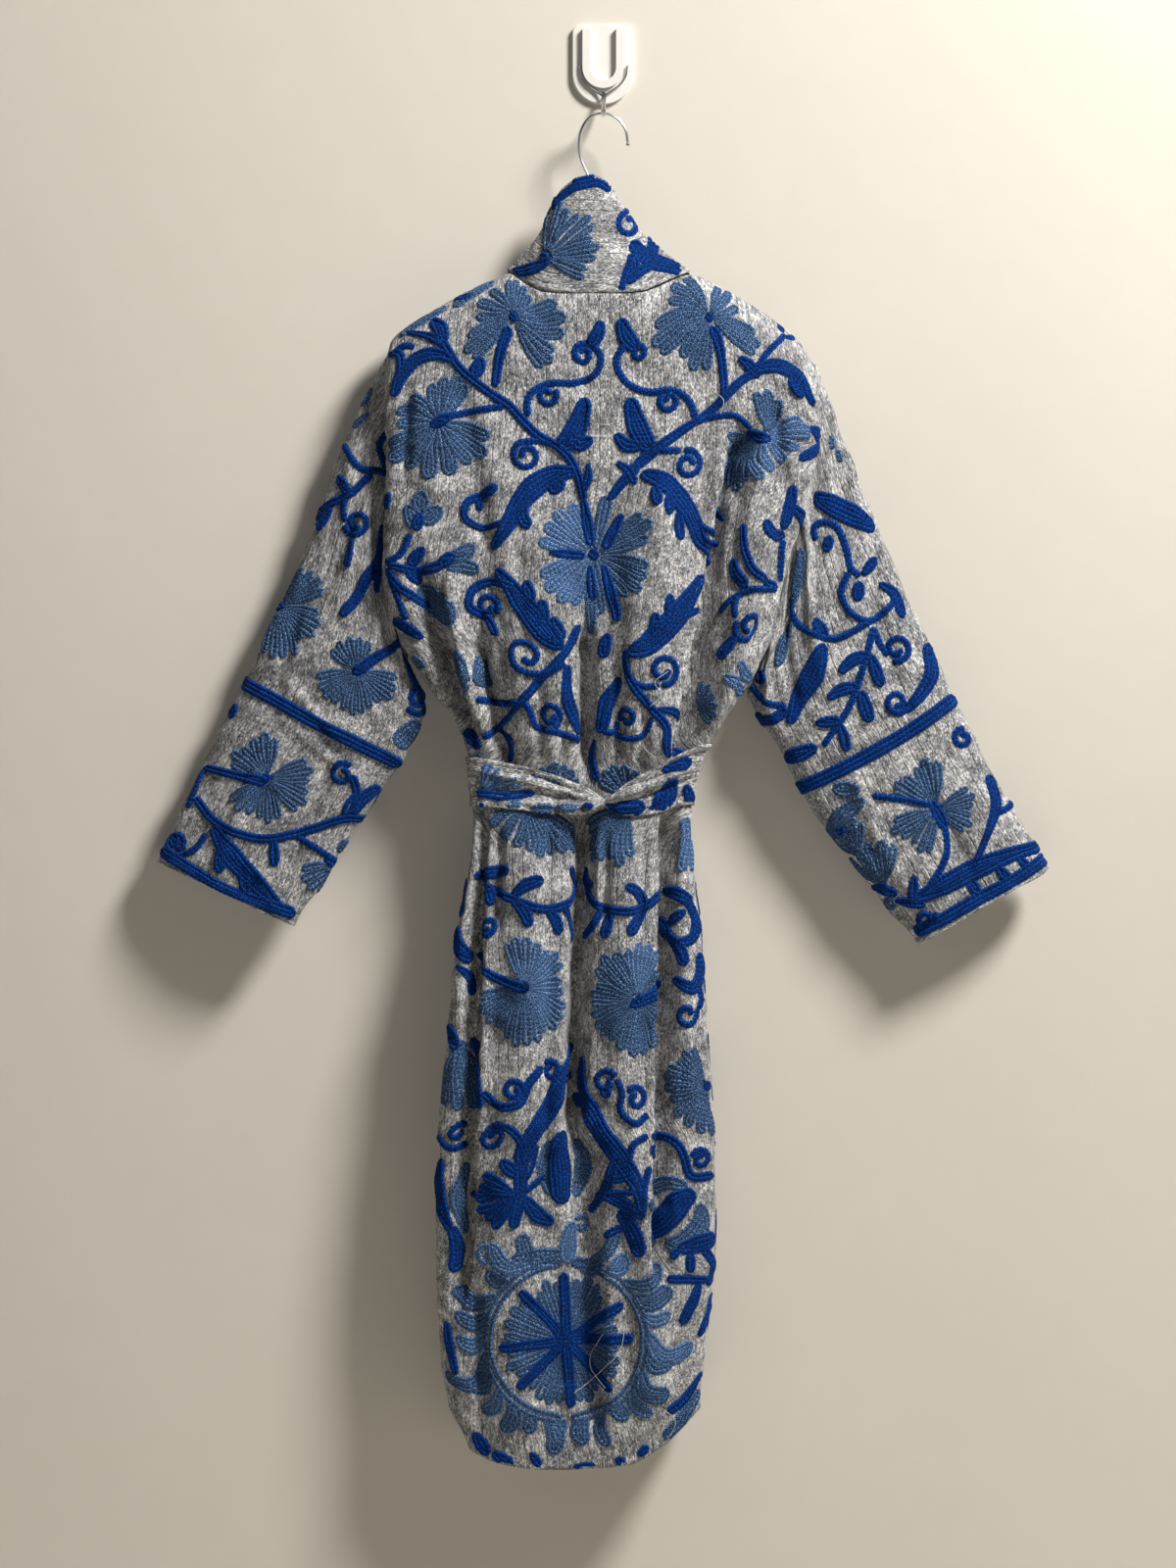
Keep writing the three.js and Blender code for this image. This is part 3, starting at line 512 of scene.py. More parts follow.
# rings of the sleeves from the armhole to the cuff: outer and inner edge, middle and half depth
sleeveRows = {
    -1: table("outerX outerZ innerX innerZ y half", [-233, -323, -203, -584, -34, 10],
              [-276, -418, -195, -634, -36, 16], [-297, -483, -183, -655, -37, 19],
              [-322, -541, -184, -676, -38, 21], [-347, -591, -194, -700, -38, 22],
              [-371, -646, -206, -721, -37, 22], [-396, -693, -232, -757, -36, 22],
              [-458, -823, -316, -888, -36, 22]),
    1: table("outerX outerZ innerX innerZ y half", [230, -340, 169, -582, -34, 10],
             [268, -446, 156, -630, -36, 16], [290, -497, 149, -650, -37, 19],
             [315, -556, 158, -670, -38, 21], [340, -612, 176, -697, -38, 22],
             [362, -655, 199, -742, -37, 22], [393, -718, 239, -801, -36, 22],
             [458, -830, 324, -908, -36, 22]),
}
# creases of the sleeves: from and to, as shares along (0 armhole, 1 cuff) and round the back
# (0 outer edge, 1 inner edge), half width and depth in mm
sleeveCreases = {
    -1: table("fromAlong fromRound toAlong toRound half depth",
              [0.12, 0.42, 0.34, 0.30, 12, -5.0], [0.20, 0.70, 0.42, 0.50, 11, -4.5],
              [0.05, 0.72, 0.30, 0.86, 12, -6.0], [0.34, 0.10, 0.60, 0.24, 14, 4.0],
              [0.52, 0.20, 0.58, 0.62, 8, -2.8], [0.60, 0.35, 0.66, 0.80, 8, -3.2],
              [0.62, 0.60, 0.92, 0.68, 14, 3.5], [0.66, 0.30, 0.96, 0.36, 14, -3.5],
              [0.70, 0.15, 0.74, 0.55, 6, -1.3], [0.86, 0.30, 0.90, 0.75, 6, -1.8],
              [0.93, 0.20, 0.95, 0.60, 5, 1.6], [0.30, 0.80, 0.50, 0.86, 8, 2.0]),
    1: table("fromAlong fromRound toAlong toRound half depth",
             [0.04, 0.50, 0.40, 0.60, 13, -6.0], [0.10, 0.76, 0.46, 0.76, 12, 5.0],
             [0.14, 0.90, 0.50, 0.90, 9, -5.0], [0.30, 0.20, 0.60, 0.30, 15, 4.0],
             [0.40, 0.45, 0.48, 0.80, 9, -4.0], [0.50, 0.40, 0.56, 0.78, 8, -3.4],
             [0.60, 0.66, 0.90, 0.72, 14, -4.0], [0.62, 0.34, 0.94, 0.40, 15, 4.0],
             [0.55, 0.15, 0.60, 0.50, 6, -1.4], [0.66, 0.30, 0.70, 0.80, 6, -2.0],
             [0.76, 0.45, 0.82, 0.90, 6, -2.4], [0.85, 0.10, 0.88, 0.60, 6, -1.8],
             [0.92, 0.40, 0.95, 0.90, 6, 2.0]),
}


# push along a line on the flat cloth, faded at its ends
def creasePush(places, a, b, half, depth):
    t = np.clip(((places - a) @ (b - a)) / ((b - a) @ (b - a)), 0, 1)
    off = np.linalg.norm(places - a - t[..., None] * (b - a), axis=-1) / half
    bump = np.where(off < 1, np.cos(np.clip(off, 0, 1) * math.pi / 2) ** 2, 0)
    return bump * np.sin(np.clip(t, 0.02, 0.98) * math.pi) ** 0.5 * depth


sleeveSizes = {
    "rings": 132, "columns": 150, "ringPlaces": 120, "ruffle": 1.0, "wave": 52, "calm": 40,
    "turn": 4.4, "inset": 0.1, "hiddenShare": 0.5,
}


# armhole ring: down the back's edge from the shoulder tip, then up the front's edge
def armholeRing(side, share):
    tip = {name: topRows[name][0 if side < 0 else -1] for name in topRows}
    gap = side * 2 * robe["seamGap"]
    start = np.array([tip["x"] + gap, tip["y"], tip["z"]])
    foot = rowPoint(-1, robe["armholeFoot"], 2 * side) + [gap, 0, 0]
    foot[1] = body["seam"](foot[2])
    halves = []
    for face in (-1, 1):
        z = mix(start[2], foot[2], share)
        edge = rowPoint(face, levelOf(z, side), np.full(len(z), 2.0 * side))
        edge[:, 0] += gap
        gape = gapeAt(z, face, np.full(len(z), float(side))) - sleeveSizes["inset"]
        edge[:, 1] = body["seam"](z) + face * gape
        edge[:, 2] = z
        edge[0], edge[-1] = start, foot
        halves.append(edge)
    return np.concatenate([halves[0], halves[1][::-1][1:-1]])


def sleeve(side, material):
    rings, columns = sleeveSizes["rings"], sleeveSizes["columns"]
    share = (1 - np.cos(np.linspace(0, math.pi, sleeveSizes["ringPlaces"]))) / 2
    ring = armholeRing(side, share)
    along = np.concatenate([share, share[::-1][1:-1]])
    face = np.concatenate([-np.ones(len(share)), np.ones(len(share) - 2)])
    rows = sleeveRows[side]
    knots = [ring]
    for i in range(len(rows["y"])):
        # the left sleeve turns a little, its outer edge back to the wall and its inner one forward
        turn = (side < 0) * min(i + 1, 3) * sleeveSizes["turn"] * (2 * along - 1)
        knots.append(np.stack([
            mix(rows["outerX"][i], rows["innerX"][i], along),
            rows["y"][i] + face * rows["half"][i] * roundShare(along) - turn,
            mix(rows["outerZ"][i], rows["innerZ"][i], along)], -1))
    knots = np.array(knots)
    down = lengthAlong((knots[:, 0] + knots[:, len(share) - 1]) / 2)
    at = np.linspace(0, down[-1], rings)
    fine = np.empty((rings, len(ring), 3))
    for i in range(len(ring)):
        for axis in range(3):
            fine[:, i, axis] = track(down, knots[:, i, axis])(at)
    closed = np.concatenate([fine, fine[:, :1]], 1)
    grid, ends = evenGrid(closed, columns + 1)
    grid = grid[:, :-1]
    flat = flatOf(-at, ends, columns + 1)[:, :columns]
    keep = smooth(at / sleeveSizes["calm"])[:, None] * np.ones((1, columns))
    grid = ruffle(grid, flat, -side, sleeveSizes["ruffle"], sleeveSizes["wave"], keep, tube=True)
    halfRound = ends[:, 1].mean() / 2
    push = np.zeros(grid.shape[:2])
    for fromAlong, fromRound, toAlong, toRound, half, depth in zip(*sleeveCreases[side].values()):
        a = np.array([fromAlong * down[-1], fromRound * halfRound])
        b = np.array([toAlong * down[-1], toRound * halfRound])
        # the same crease, less deep, on the sleeve's hidden face
        for mirrored in (False, True):
            p = np.stack([np.broadcast_to(at[:, None], push.shape), flat[..., 0]], -1)
            if mirrored:
                p[..., 1] = ends[:, 1:2] - p[..., 1]
            push += creasePush(p, a, b, half, depth * (sleeveSizes["hiddenShare"] if mirrored else 1))
    grid = grid + normalsOf(grid, True) * -side * (push * keep)[..., None]
    keepPanel(f"sleeve_{sideName(side)}", grid, -at, ends, -side, tube=True)
    return clothPiece(f"robe_sleeve_{sideName(side)}", grid, flat, material, -side, tube=True)


# level of the row that passes through height z at the side of the body, found by halving
def levelOf(z, side, lowest=-700.0, halvings=24):
    low = np.full(np.shape(z), lowest)
    high = np.full(np.shape(z), float(robe["neckTop"]))
    for _ in range(halvings):
        level = (low + high) / 2
        at = rowPoint(-1, level, np.full(np.shape(z), 2.0 * side))[..., 2]
        high = np.where(at > z, level, high)
        low = np.where(at > z, low, level)
    return (low + high) / 2


# belt across the back: height of its middle, half its width and its turn in degrees
beltRows = table(
    "x z half turn",
    [-133, -741, 25, 0], [-90, -746, 23, 0], [-52, -753, 20, 2], [-22, -759, 16, 18],
    [-4, -760, 13, 62], [8, -760, 13, 112], [24, -758, 18, 156], [52, -749, 25, 176],
    [92, -733, 31, 180],
)
# lengthwise creases of the belt: from and to, in mm across the view and shares over its width
beltCreases = table(
    "fromX fromShare toX toShare half depth",
    [-133, 0.5, -6, 0.1, 5, -3.0], [-120, -0.3, 2, 0.2, 6, 3.2], [-110, -0.75, -10, -0.5, 4, -2.6],
    [-80, 0.75, -20, 0.5, 4, 2.4], [10, 0.3, 92, 0.15, 6, -4.2], [14, -0.5, 90, -0.25, 6, 3.4],
    [30, 0.8, 92, 0.7, 4, -2.4], [40, -0.9, 92, -0.7, 4, -2.4],
)
beltSizes = {
    "cloth": 2.0, "gap": 1.2, "lift": 2.6, "besideKnot": 0.14, "columns": 30, "ruffle": 0.7, "wave": 26,
    "edge": 3, "knotHalf": 17, "backFace": -50,
}
# stretches of the belt: round the left of the front, across the back, round the right
beltStretches = [
    {"face": 1, "side": -1, "endHeight": -740, "endHalf": 25, "turn": 0},
    {"face": -1},
    {"face": 1, "side": 1, "endHeight": -735, "endHalf": 30, "turn": 180},
]


# a point of the body without its folds
def flatPoint(face, level, q):
    kept = folds[face]
    folds[face] = {name: column[:0] for name, column in kept.items()}
    point = rowPoint(face, level, q)
    folds[face] = kept
    return point


# a point of the belt, lifted off the body
def beltPoint(face, q, z, rise, lift, step=0.04):
    here = flatPoint(face, z + rise, q)
    ahead, before = flatPoint(face, z + rise, q + step), flatPoint(face, z + rise, q - step)
    out = np.stack([ahead[..., 1] - before[..., 1], before[..., 0] - ahead[..., 0],
                    np.zeros(here.shape[:-1])], -1)
    out /= np.linalg.norm(out, axis=-1, keepdims=True)
    return here - face * out * lift[..., None]


def belt(material):
    columns = beltSizes["columns"]
    backTrack = tracks(beltRows, "x")
    near, square = beltSizes["besideKnot"], robe["squareness"]
    # places along the belt, crowded where it turns round the sides
    frontQ = np.concatenate([np.linspace(near, 0.8, 26)[:-1], 1 - np.linspace(0.585, 0, 22) ** square,
                             np.linspace(1, 2, 10)[1:]])
    turned = 1 - np.linspace(0.64, 0, 24) ** square
    backQ = np.concatenate([-turned[::-1], np.linspace(-0.76, 0.76, 150)[1:-1], turned])
    share = np.linspace(-1, 1, columns)
    parts = []
    for one in beltStretches:
        face = one["face"]
        if face > 0:
            q = -frontQ if one["side"] < 0 else frontQ[::-1]
            reach = (np.abs(q) - near) / (2 - near)
            z = mix(robe["beltHeight"], one["endHeight"], reach)
            half = mix(beltSizes["knotHalf"], one["endHalf"], reach)
            turns = np.full(len(q), float(one["turn"]))
        else:
            q = backQ
            x = flatPoint(-1, robe["beltHeight"], q)[:, 0]
            z, half, turns = backTrack["z"](x), backTrack["half"](x), backTrack["turn"](x)
        angle = np.radians(turns)[:, None]
        lift = mix(beltSizes["gap"] + beltSizes["lift"], beltSizes["gap"], turns / 180)[:, None]
        stand = half[:, None] * np.sin(angle) * (1 - share[None, :])
        rise = share[None, :] * half[:, None] * np.cos(angle)
        wide = np.broadcast_to(q[:, None], rise.shape)
        parts.append(beltPoint(face, wide, z[:, None] + 0 * rise, rise, lift + stand))
    grid = np.concatenate(parts)
    middle = grid[:, columns // 2]
    along = lengthAlong(middle)
    width = np.linalg.norm(np.diff(grid, axis=1), axis=-1).sum(1)
    ends = np.stack([-width / 2, width / 2], -1)
    flat = flatOf(along, ends, columns)
    keep = ruffleShare(columns, beltSizes["edge"], np.ones(len(grid)))
    grid = ruffle(grid, flat, 1, beltSizes["ruffle"], beltSizes["wave"], keep)
    onBack = np.flatnonzero(middle[:, 1] < beltSizes["backFace"])
    push = np.zeros(grid.shape[:2])
    for fromX, fromShare, toX, toShare, half, depth in zip(*beltCreases.values()):
        line = []
        for x, place in ((fromX, fromShare), (toX, toShare)):
            row = onBack[np.argmin(np.abs(middle[onBack, 0] - x))]
            line.append(np.array([place * width[row] / 2, along[row]]))
        push += creasePush(flat, *line, half, depth)
    grid = grid + normalsOf(grid) * (push * keep)[..., None]
    keepPanel("belt", grid, along, ends, 1)
    return clothPiece("belt_band", grid, flat, material, 1, thickness=beltSizes["cloth"])


knotSizes = {
    "x": -20, "y": -15, "z": -748, "wide": 30, "deep": 17, "tall": 46, "rows": 36, "columns": 48,
    "roundness": 0.8, "grooves": [(0.07, 1.1, 0.12), (0.05, 2.1, 0.1)],
}


# knot of the belt: a rounded lump with grooves where the cloth wraps over itself
def beltKnot(material):
    size = knotSizes
    up = np.linspace(0, math.pi, size["rows"])[:, None]
    turn = np.linspace(0, 2 * math.pi, size["columns"], endpoint=False)[None, :]
    groove = 1
    for depth, place, width in size["grooves"]:
        groove = groove - depth * np.exp(-((up - place) / width) ** 2)
    x = size["x"] + size["wide"] / 2 * np.sin(up) ** size["roundness"] * np.cos(turn) * groove
    y = size["y"] + size["deep"] / 2 * np.sin(up) ** size["roundness"] * np.sin(turn) * groove
    z = size["z"] + size["tall"] / 2 * np.cos(up) + 0 * turn
    grid = np.stack([x, y, z], -1)
    flat = np.stack([turn * 8 + 0 * up, up * 16 + 0 * turn], -1)
    faces = gridFaces(*grid.shape[:2], tube=True)
    mesh = fillMesh("belt_knot_wrap", grid.reshape(-1, 3), faces, flat.reshape(-1, 2) * mm)
    return linkObject("belt_knot_wrap", mesh, material)


# edges of the belt's tails by height
tailRows = {
    -1: table("z left right", [-757, -33, -21], [-768, -34, -20.6], [-790, -42, -19],
              [-850, -47, -9], [-1190, -50, -10]),
    1: table("z left right", [-757, -19, -7], [-768, -19.4, -6], [-790, -18, 8],
             [-850, -4, 34], [-1236, -2, 38]),
}
tailSizes = {"rows": 90, "columns": 16, "nearWall": -1.2}


def beltTail(side, material):
    rows, columns = tailSizes["rows"], tailSizes["columns"]
    edges = tracks(tailRows[side], "z")
    z = np.linspace(tailRows[side]["z"][0], tailRows[side]["z"][-1], rows)[:, None]
    x = mix(edges["left"](z), edges["right"](z), np.linspace(0, 1, columns)[None, :])
    height = z + 0 * x
    grid = flatPoint(1, height, acrossAt(x, height))
    lifted = grid[..., 1] + beltSizes["gap"] + beltSizes["lift"]
    grid[..., 1] = np.minimum(lifted, tailSizes["nearWall"])
    along = lengthAlong(grid[:, columns // 2])
    ends = np.stack([np.zeros(rows), np.linalg.norm(grid[:, -1] - grid[:, 0], axis=-1)], -1)
    flat = keepPanel(f"tail_{sideName(side)}", grid, -along, ends, -1)
    return clothPiece(f"belt_tail_{sideName(side)}_strip", grid, flat, material, -1,
                      thickness=beltSizes["cloth"])


def newMaterial(name, roughness):
    material = bpy.data.materials.new(name)
    material.use_nodes = True
    shader = material.node_tree.nodes["Principled BSDF"]
    shader.inputs["Roughness"].default_value = roughness
    return material, material.node_tree, shader


# links a socket to another one, or sets its fixed value
def feed(tree, socket, value):
    if isinstance(value, bpy.types.NodeSocket):
        tree.links.new(value, socket)
    else:
        socket.default_value = value


def node(tree, kind, values=None):
    made = tree.nodes.new(kind)
    for key, value in (values or {}).items():
        feed(tree, made.inputs[key], value)
    return made


def calculated(tree, kind, a, b=0.0, clamp=False):
    made = tree.nodes.new("ShaderNodeMath")
    made.operation, made.use_clamp = kind, clamp
    feed(tree, made.inputs[0], a)
    feed(tree, made.inputs[1], b)
    return made.outputs[0]


def plus(tree, a, b, clamp=False):
    return calculated(tree, "ADD", a, b, clamp)


def minus(tree, a, b, clamp=False):
    return calculated(tree, "SUBTRACT", a, b, clamp)


def times(tree, a, b, clamp=False):
    return calculated(tree, "MULTIPLY", a, b, clamp)


def awayFrom(tree, value, fixed):
    return calculated(tree, "ABSOLUTE", minus(tree, value, fixed))


# one where the value is nothing, falling to none at a rate
def fading(tree, value, rate):
    return minus(tree, 1.0, times(tree, value, rate), True)


def blendColour(tree, share, a, b, kind="MIX"):
    made = tree.nodes.new("ShaderNodeMix")
    made.data_type, made.blend_type = "RGBA", kind
    for socket, value in ((0, share), (6, a), (7, b)):
        feed(tree, made.inputs[socket], value)
    return made.outputs[2]


def noise(tree, place, scale, detail=2.0, roughness=0.5):
    values = {"Vector": place, "Scale": scale, "Detail": detail, "Roughness": roughness}
    return node(tree, "ShaderNodeTexNoise", values).outputs[0]


# places squeezed along the cloth's length, so that what is drawn on them runs along it
def drawnOut(tree, place, share):
    return node(tree, "ShaderNodeMapping", {"Vector": place, "Scale": (1, share, 1)}).outputs[0]


# dark, middle and light colour along a value, from where it leaves the dark to where it is light
def ramp(tree, value, low, high, colours):
    made = node(tree, "ShaderNodeValToRGB", {"Fac": value})
    stops = made.color_ramp.elements
    stops[0].position, stops[1].position = low, high
    stops[0].color, stops[1].color = colours[0], colours[2]
    stops.new(0.5).color = colours[1]
    return made.outputs[0]


def surface(tree, shader, colour, height, strength, depth):
    tree.links.new(colour, shader.inputs["Base Color"])
    bump = node(tree, "ShaderNodeBump", {"Height": height, "Strength": strength, "Distance": depth})
    tree.links.new(bump.outputs[0], shader.inputs["Normal"])


def softShine(shader, sheen, sheenRoughness, specular):
    shader.inputs["Sheen Weight"].default_value = sheen
    shader.inputs["Sheen Roughness"].default_value = sheenRoughness
    shader.inputs["Specular IOR Level"].default_value = specular


def flatPlaces(tree):
    place = node(tree, "ShaderNodeTexCoord").outputs["UV"]
    split = node(tree, "ShaderNodeSeparateXYZ", {"Vector": place})
    return place, split.outputs["X"], split.outputs["Y"]


# colour of a tone as the eye reads it, turned into the renderer's own numbers
def tone(red, green, blue):
    def one(value):
        share = value / 255
        return share / 12.92 if share <= 0.04045 else ((share + 0.055) / 1.055) ** 2.4
    return (one(red), one(green), one(blue), 1)


# grey cloth of mixed fibres, stitched through in long upright lines
clothLook = {
    "fibres": [tone(48, 50, 54), tone(130, 130, 131), tone(234, 231, 226)],
    "warm": tone(150, 128, 112), "cool": tone(104, 122, 152), "tint": 260.0,
    "tintFrom": 0.58, "tintUnder": 0.44, "tintRate": 3.2, "grain": 0.42, "ramp": (0.41, 0.61),
    "fleck": 820.0, "streak": 260.0, "patch": 34.0, "shares": (0.54, 0.26, 0.2),
    "line": 0.011, "lineRate": 9.0, "wander": 30.0, "thread": tone(44, 46, 52), "stitch": 0.009,
    "gap": 0.45, "pucker": 120.0, "puckerGrain": 0.3, "shine": (0.12, 0.6, 0.15), "bump": (0.7, 0.002),
}


def clothMaterial(name, paintedLight=1.0):
    look = clothLook
    material, tree, shader = newMaterial(name, 0.95)
    place, u, v = flatPlaces(tree)
    grain = drawnOut(tree, place, look["grain"])
    fleck = noise(tree, grain, look["fleck"], 4.0, 0.62)
    streak = noise(tree, grain, look["streak"], 3.0)
    patch = noise(tree, place, look["patch"], 3.0)
    parts = [times(tree, part, share) for part, share in zip((fleck, streak, patch), look["shares"])]
    mixed = plus(tree, plus(tree, parts[0], parts[1]), parts[2])
    colour = ramp(tree, mixed, *look["ramp"], look["fibres"])
    # a few warm and a few cool fibres
    tint = noise(tree, place, look["tint"])
    warm = times(tree, minus(tree, tint, look["tintFrom"], True), look["tintRate"], True)
    cool = times(tree, minus(tree, look["tintUnder"], tint, True), look["tintRate"], True)
    colour = blendColour(tree, warm, colour, look["warm"])
    colour = blendColour(tree, cool, colour, look["cool"])
    # the upright stitched lines: a pinch of the cloth, with a dash of dark at each stitch
    wander = noise(tree, place, look["wander"])
    across = plus(tree, calculated(tree, "DIVIDE", u, look["line"]), times(tree, wander, 0.5))
    away = awayFrom(tree, calculated(tree, "FRACT", across), 0.5)
    line = fading(tree, minus(tree, 0.5, away), look["lineRate"])
    down = plus(tree, calculated(tree, "DIVIDE", v, look["stitch"]), times(tree, fleck, 0.4))
    dash = calculated(tree, "GREATER_THAN", calculated(tree, "FRACT", down), look["gap"])
    dashes = times(tree, times(tree, line, dash), times(tree, patch, 0.3))
    colour = blendColour(tree, dashes, colour, look["thread"])
    # painted light: the whole cloth is made lighter or darker by this share, as if lit more or less
    if paintedLight != 1.0:
        colour = blendColour(tree, 1.0, colour, (paintedLight, paintedLight, paintedLight, 1), "MULTIPLY")
    softShine(shader, *look["shine"])
    pucker = noise(tree, drawnOut(tree, place, look["puckerGrain"]), look["pucker"])
    height = plus(tree, times(tree, pucker, 1.5), times(tree, fleck, 0.4))
    height = minus(tree, height, times(tree, line, 0.45))
    surface(tree, shader, colour, height, *look["bump"])
    return material


# chain-stitch yarn: a loop for each stitch, with painted shade darkening the loops' hollows and the places
# where the loops meet
yarnTones = {
    "royal": [tone(0, 6, 26), tone(0, 32, 92), tone(0, 112, 236)],
    "steel": [tone(5, 11, 26), tone(38, 64, 104), tone(150, 196, 250)],
    "sky": [tone(10, 22, 46), tone(60, 96, 148), tone(172, 208, 248)],
}


yarnLook = {
    "slant": 0.45, "sides": 1.9, "hollow": 0.62, "hollowRate": 3.2, "joint": 0.1, "jointRate": 7.0,
    "fibre": 2.4, "along": 1.6, "across": 5.0, "ramp": (0.08, 0.86), "shine": (0.02, 0.5, 0.08),
    "bump": (0.9, 0.0014),
}


def yarnMaterial(name, tones):
    look = yarnLook
    material, tree, shader = newMaterial(name, 0.72)
    _, u, v = flatPlaces(tree)
    side = times(tree, awayFrom(tree, v, 0.5), 2.0)
    phase = calculated(tree, "FRACT", plus(tree, u, times(tree, side, look["slant"])))
    # painted shade: darker in the loops' hollows and where the loops meet; the same marks also press the
    # bump in
    inside = fading(tree, awayFrom(tree, phase, look["hollow"]), look["hollowRate"])
    hollow = times(tree, fading(tree, side, look["sides"]), inside)
    joint = fading(tree, awayFrom(tree, phase, look["joint"]), look["jointRate"])
    low = plus(tree, times(tree, hollow, 0.55), times(tree, joint, 0.6), True)
    along, across = times(tree, u, look["along"]), times(tree, v, look["across"])
    twist = node(tree, "ShaderNodeCombineXYZ", {"X": along, "Y": across}).outputs[0]
    fibre = noise(tree, twist, look["fibre"], 3.0)
    strand = plus(tree, times(tree, fibre, 2.5), -0.75)
    # painted shade: the hollows and the places where loops meet pull the colour down the ramp towards its
    # dark tone
    colour = ramp(tree, minus(tree, strand, times(tree, low, 0.9)), *look["ramp"], tones)
    softShine(shader, *look["shine"])
    surface(tree, shader, colour, minus(tree, times(tree, fibre, 0.5), low), *look["bump"])
    return material


def plainMaterial(name, colour, roughness, metallic=0.0, mottle=0.0):
    material, tree, shader = newMaterial(name, roughness)
    shader.inputs["Metallic"].default_value = metallic
    shader.inputs["Base Color"].default_value = colour
    if mottle:
        cloud = noise(tree, node(tree, "ShaderNodeTexCoord").outputs["Object"], 40.0, 4.0)
        darker = tuple(part * (1 - mottle) for part in colour[:3]) + (1,)
        surface(tree, shader, blendColour(tree, cloud, darker, colour), cloud, 0.15, 0.001)
    return material


# embroidery: chain-stitched rows of yarn, each a low ribbon that follows the cloth under it
yarn = {
    "over": 0.7, "pitch": 4.4, "single": 8.6, "step": 2.5, "stitch": 5.0, "margin": 1.6,
    "narrow": 0.84, "wide": 1.07, "tuckedEnd": -0.1, "jump": 14, "thinnest": 1.3, "thickest": 3.9,
    "lineStep": 1.25,
}
# search for a flat place: how square a point faces the view, how many are tried, how near the
# nearest, how open the cloth must lie for a move and for a turn, and how far a move may reach
search = {"facing": 0.03, "points": 10, "near": 3, "edgeOn": 0.15, "flattest": 0.02, "reach": 90}
# a row of yarn from side to side: where each point lies and how far it rises
acrossFull = (np.array([-1, -0.62, 0, 0.62, 1]), np.array([-0.1, 1.15, 1.55, 1.15, -0.1]))
acrossPlain = (np.array([-1, 0, 1]), np.array([-0.3, 1.2, -0.3]))
# panels sewn with fewer faces, as they hang towards the wall
plainPanels = ("front_left", "front_right", "band_left", "band_right")
stitches = {}


# hung place and normal of each flat place, and whether it lies inside the panel's hems
def sampleCloth(panel, flat):
    grid, normals, ends = panel["grid"], panel["normals"], panel["ends"]
    order = np.argsort(panel["levels"])
    row = np.interp(flat[:, 1], panel["levels"][order], order)
    low = np.interp(row, np.arange(len(ends)), ends[:, 0])
    high = np.interp(row, np.arange(len(ends)), ends[:, 1])
    count = grid.shape[1] if panel["tube"] else grid.shape[1] - 1
    column = (flat[:, 0] - low) / np.maximum(high - low, 1e-6) * count
    first, last = panel["levels"].min(), panel["levels"].max()
    margin = yarn["margin"]
    inside = (flat[:, 1] > first + margin) & (flat[:, 1] < last - margin)
    if not panel["tube"]:
        inside &= (flat[:, 0] > low + margin) & (flat[:, 0] < high - margin)
        column = np.clip(column, 0, count - 1e-6)
    r = np.clip(np.floor(row).astype(int), 0, len(grid) - 2)
    c = np.floor(column).astype(int)
    a, b = (row - r)[:, None], (column - c)[:, None]
    c0, c1 = c % grid.shape[1], (c + 1) % grid.shape[1]

    def read(values):
        return mix(mix(values[r, c0], values[r, c1], b), mix(values[r + 1, c0], values[r + 1, c1], b), a)
    normal = read(normals)
    return read(grid), normal / np.linalg.norm(normal, axis=1, keepdims=True), inside


# a panel's points that face the room (-1) or the wall (1), in a tree to search by x and z
def lookUp(name, facing):
    panel = panels[name]
    if ("tree", facing) not in panel:
        grid = panel["grid"]
        seen = np.argwhere(panel["normals"][..., 1] * facing > search["facing"])
        tree = kdtree.KDTree(len(seen))
        for i, (r, c) in enumerate(seen):
            tree.insert((grid[r, c, 0], grid[r, c, 2], 0), i)
        tree.balance()
        panel[("tree", facing)] = (tree, seen)
    return panel[("tree", facing)]


# how x and z change along the flat cloth's two ways
def slopeAt(panel, r, c):
    grid, flat = panel["grid"], panel["flat"]
    up, down = min(r + 1, len(grid) - 1), max(r - 1, 0)
    right, left = min(c + 1, grid.shape[1] - 1), max(c - 1, 0)
    alongU = (grid[r, right] - grid[r, left])[[0, 2]] / max(flat[r, right, 0] - flat[r, left, 0], 1e-6)
    alongV = (grid[up, c] - grid[down, c])[[0, 2]] / (flat[up, c, 1] - flat[down, c, 1])
    return np.stack([alongU, alongV], 1)


# where a place seen from the room (-1) or from the wall (1) lies on the flat cloth, and the slope
def flatPlace(name, x, z, facing=-1):
    tree, seen = lookUp(name, facing)
    panel = panels[name]
    found = tree.find_n((x, z, 0), search["points"])
    near = [seen[i] for _, i, away in found if away < found[0][2] + search["near"]]
    r, c = max(near, key=lambda place: panel["grid"][tuple(place)][1] * facing)
    off = np.array([x, z]) - panel["grid"][r, c][[0, 2]]
    slope = slopeAt(panel, r, c)
    if abs(np.linalg.det(slope)) < search["edgeOn"]:
        return panel["flat"][r, c].copy(), slope
    move = np.linalg.solve(slope, off)
    reach = np.linalg.norm(move)
    return panel["flat"][r, c] + move * min(1, search["reach"] / max(reach, 1e-6)), slope


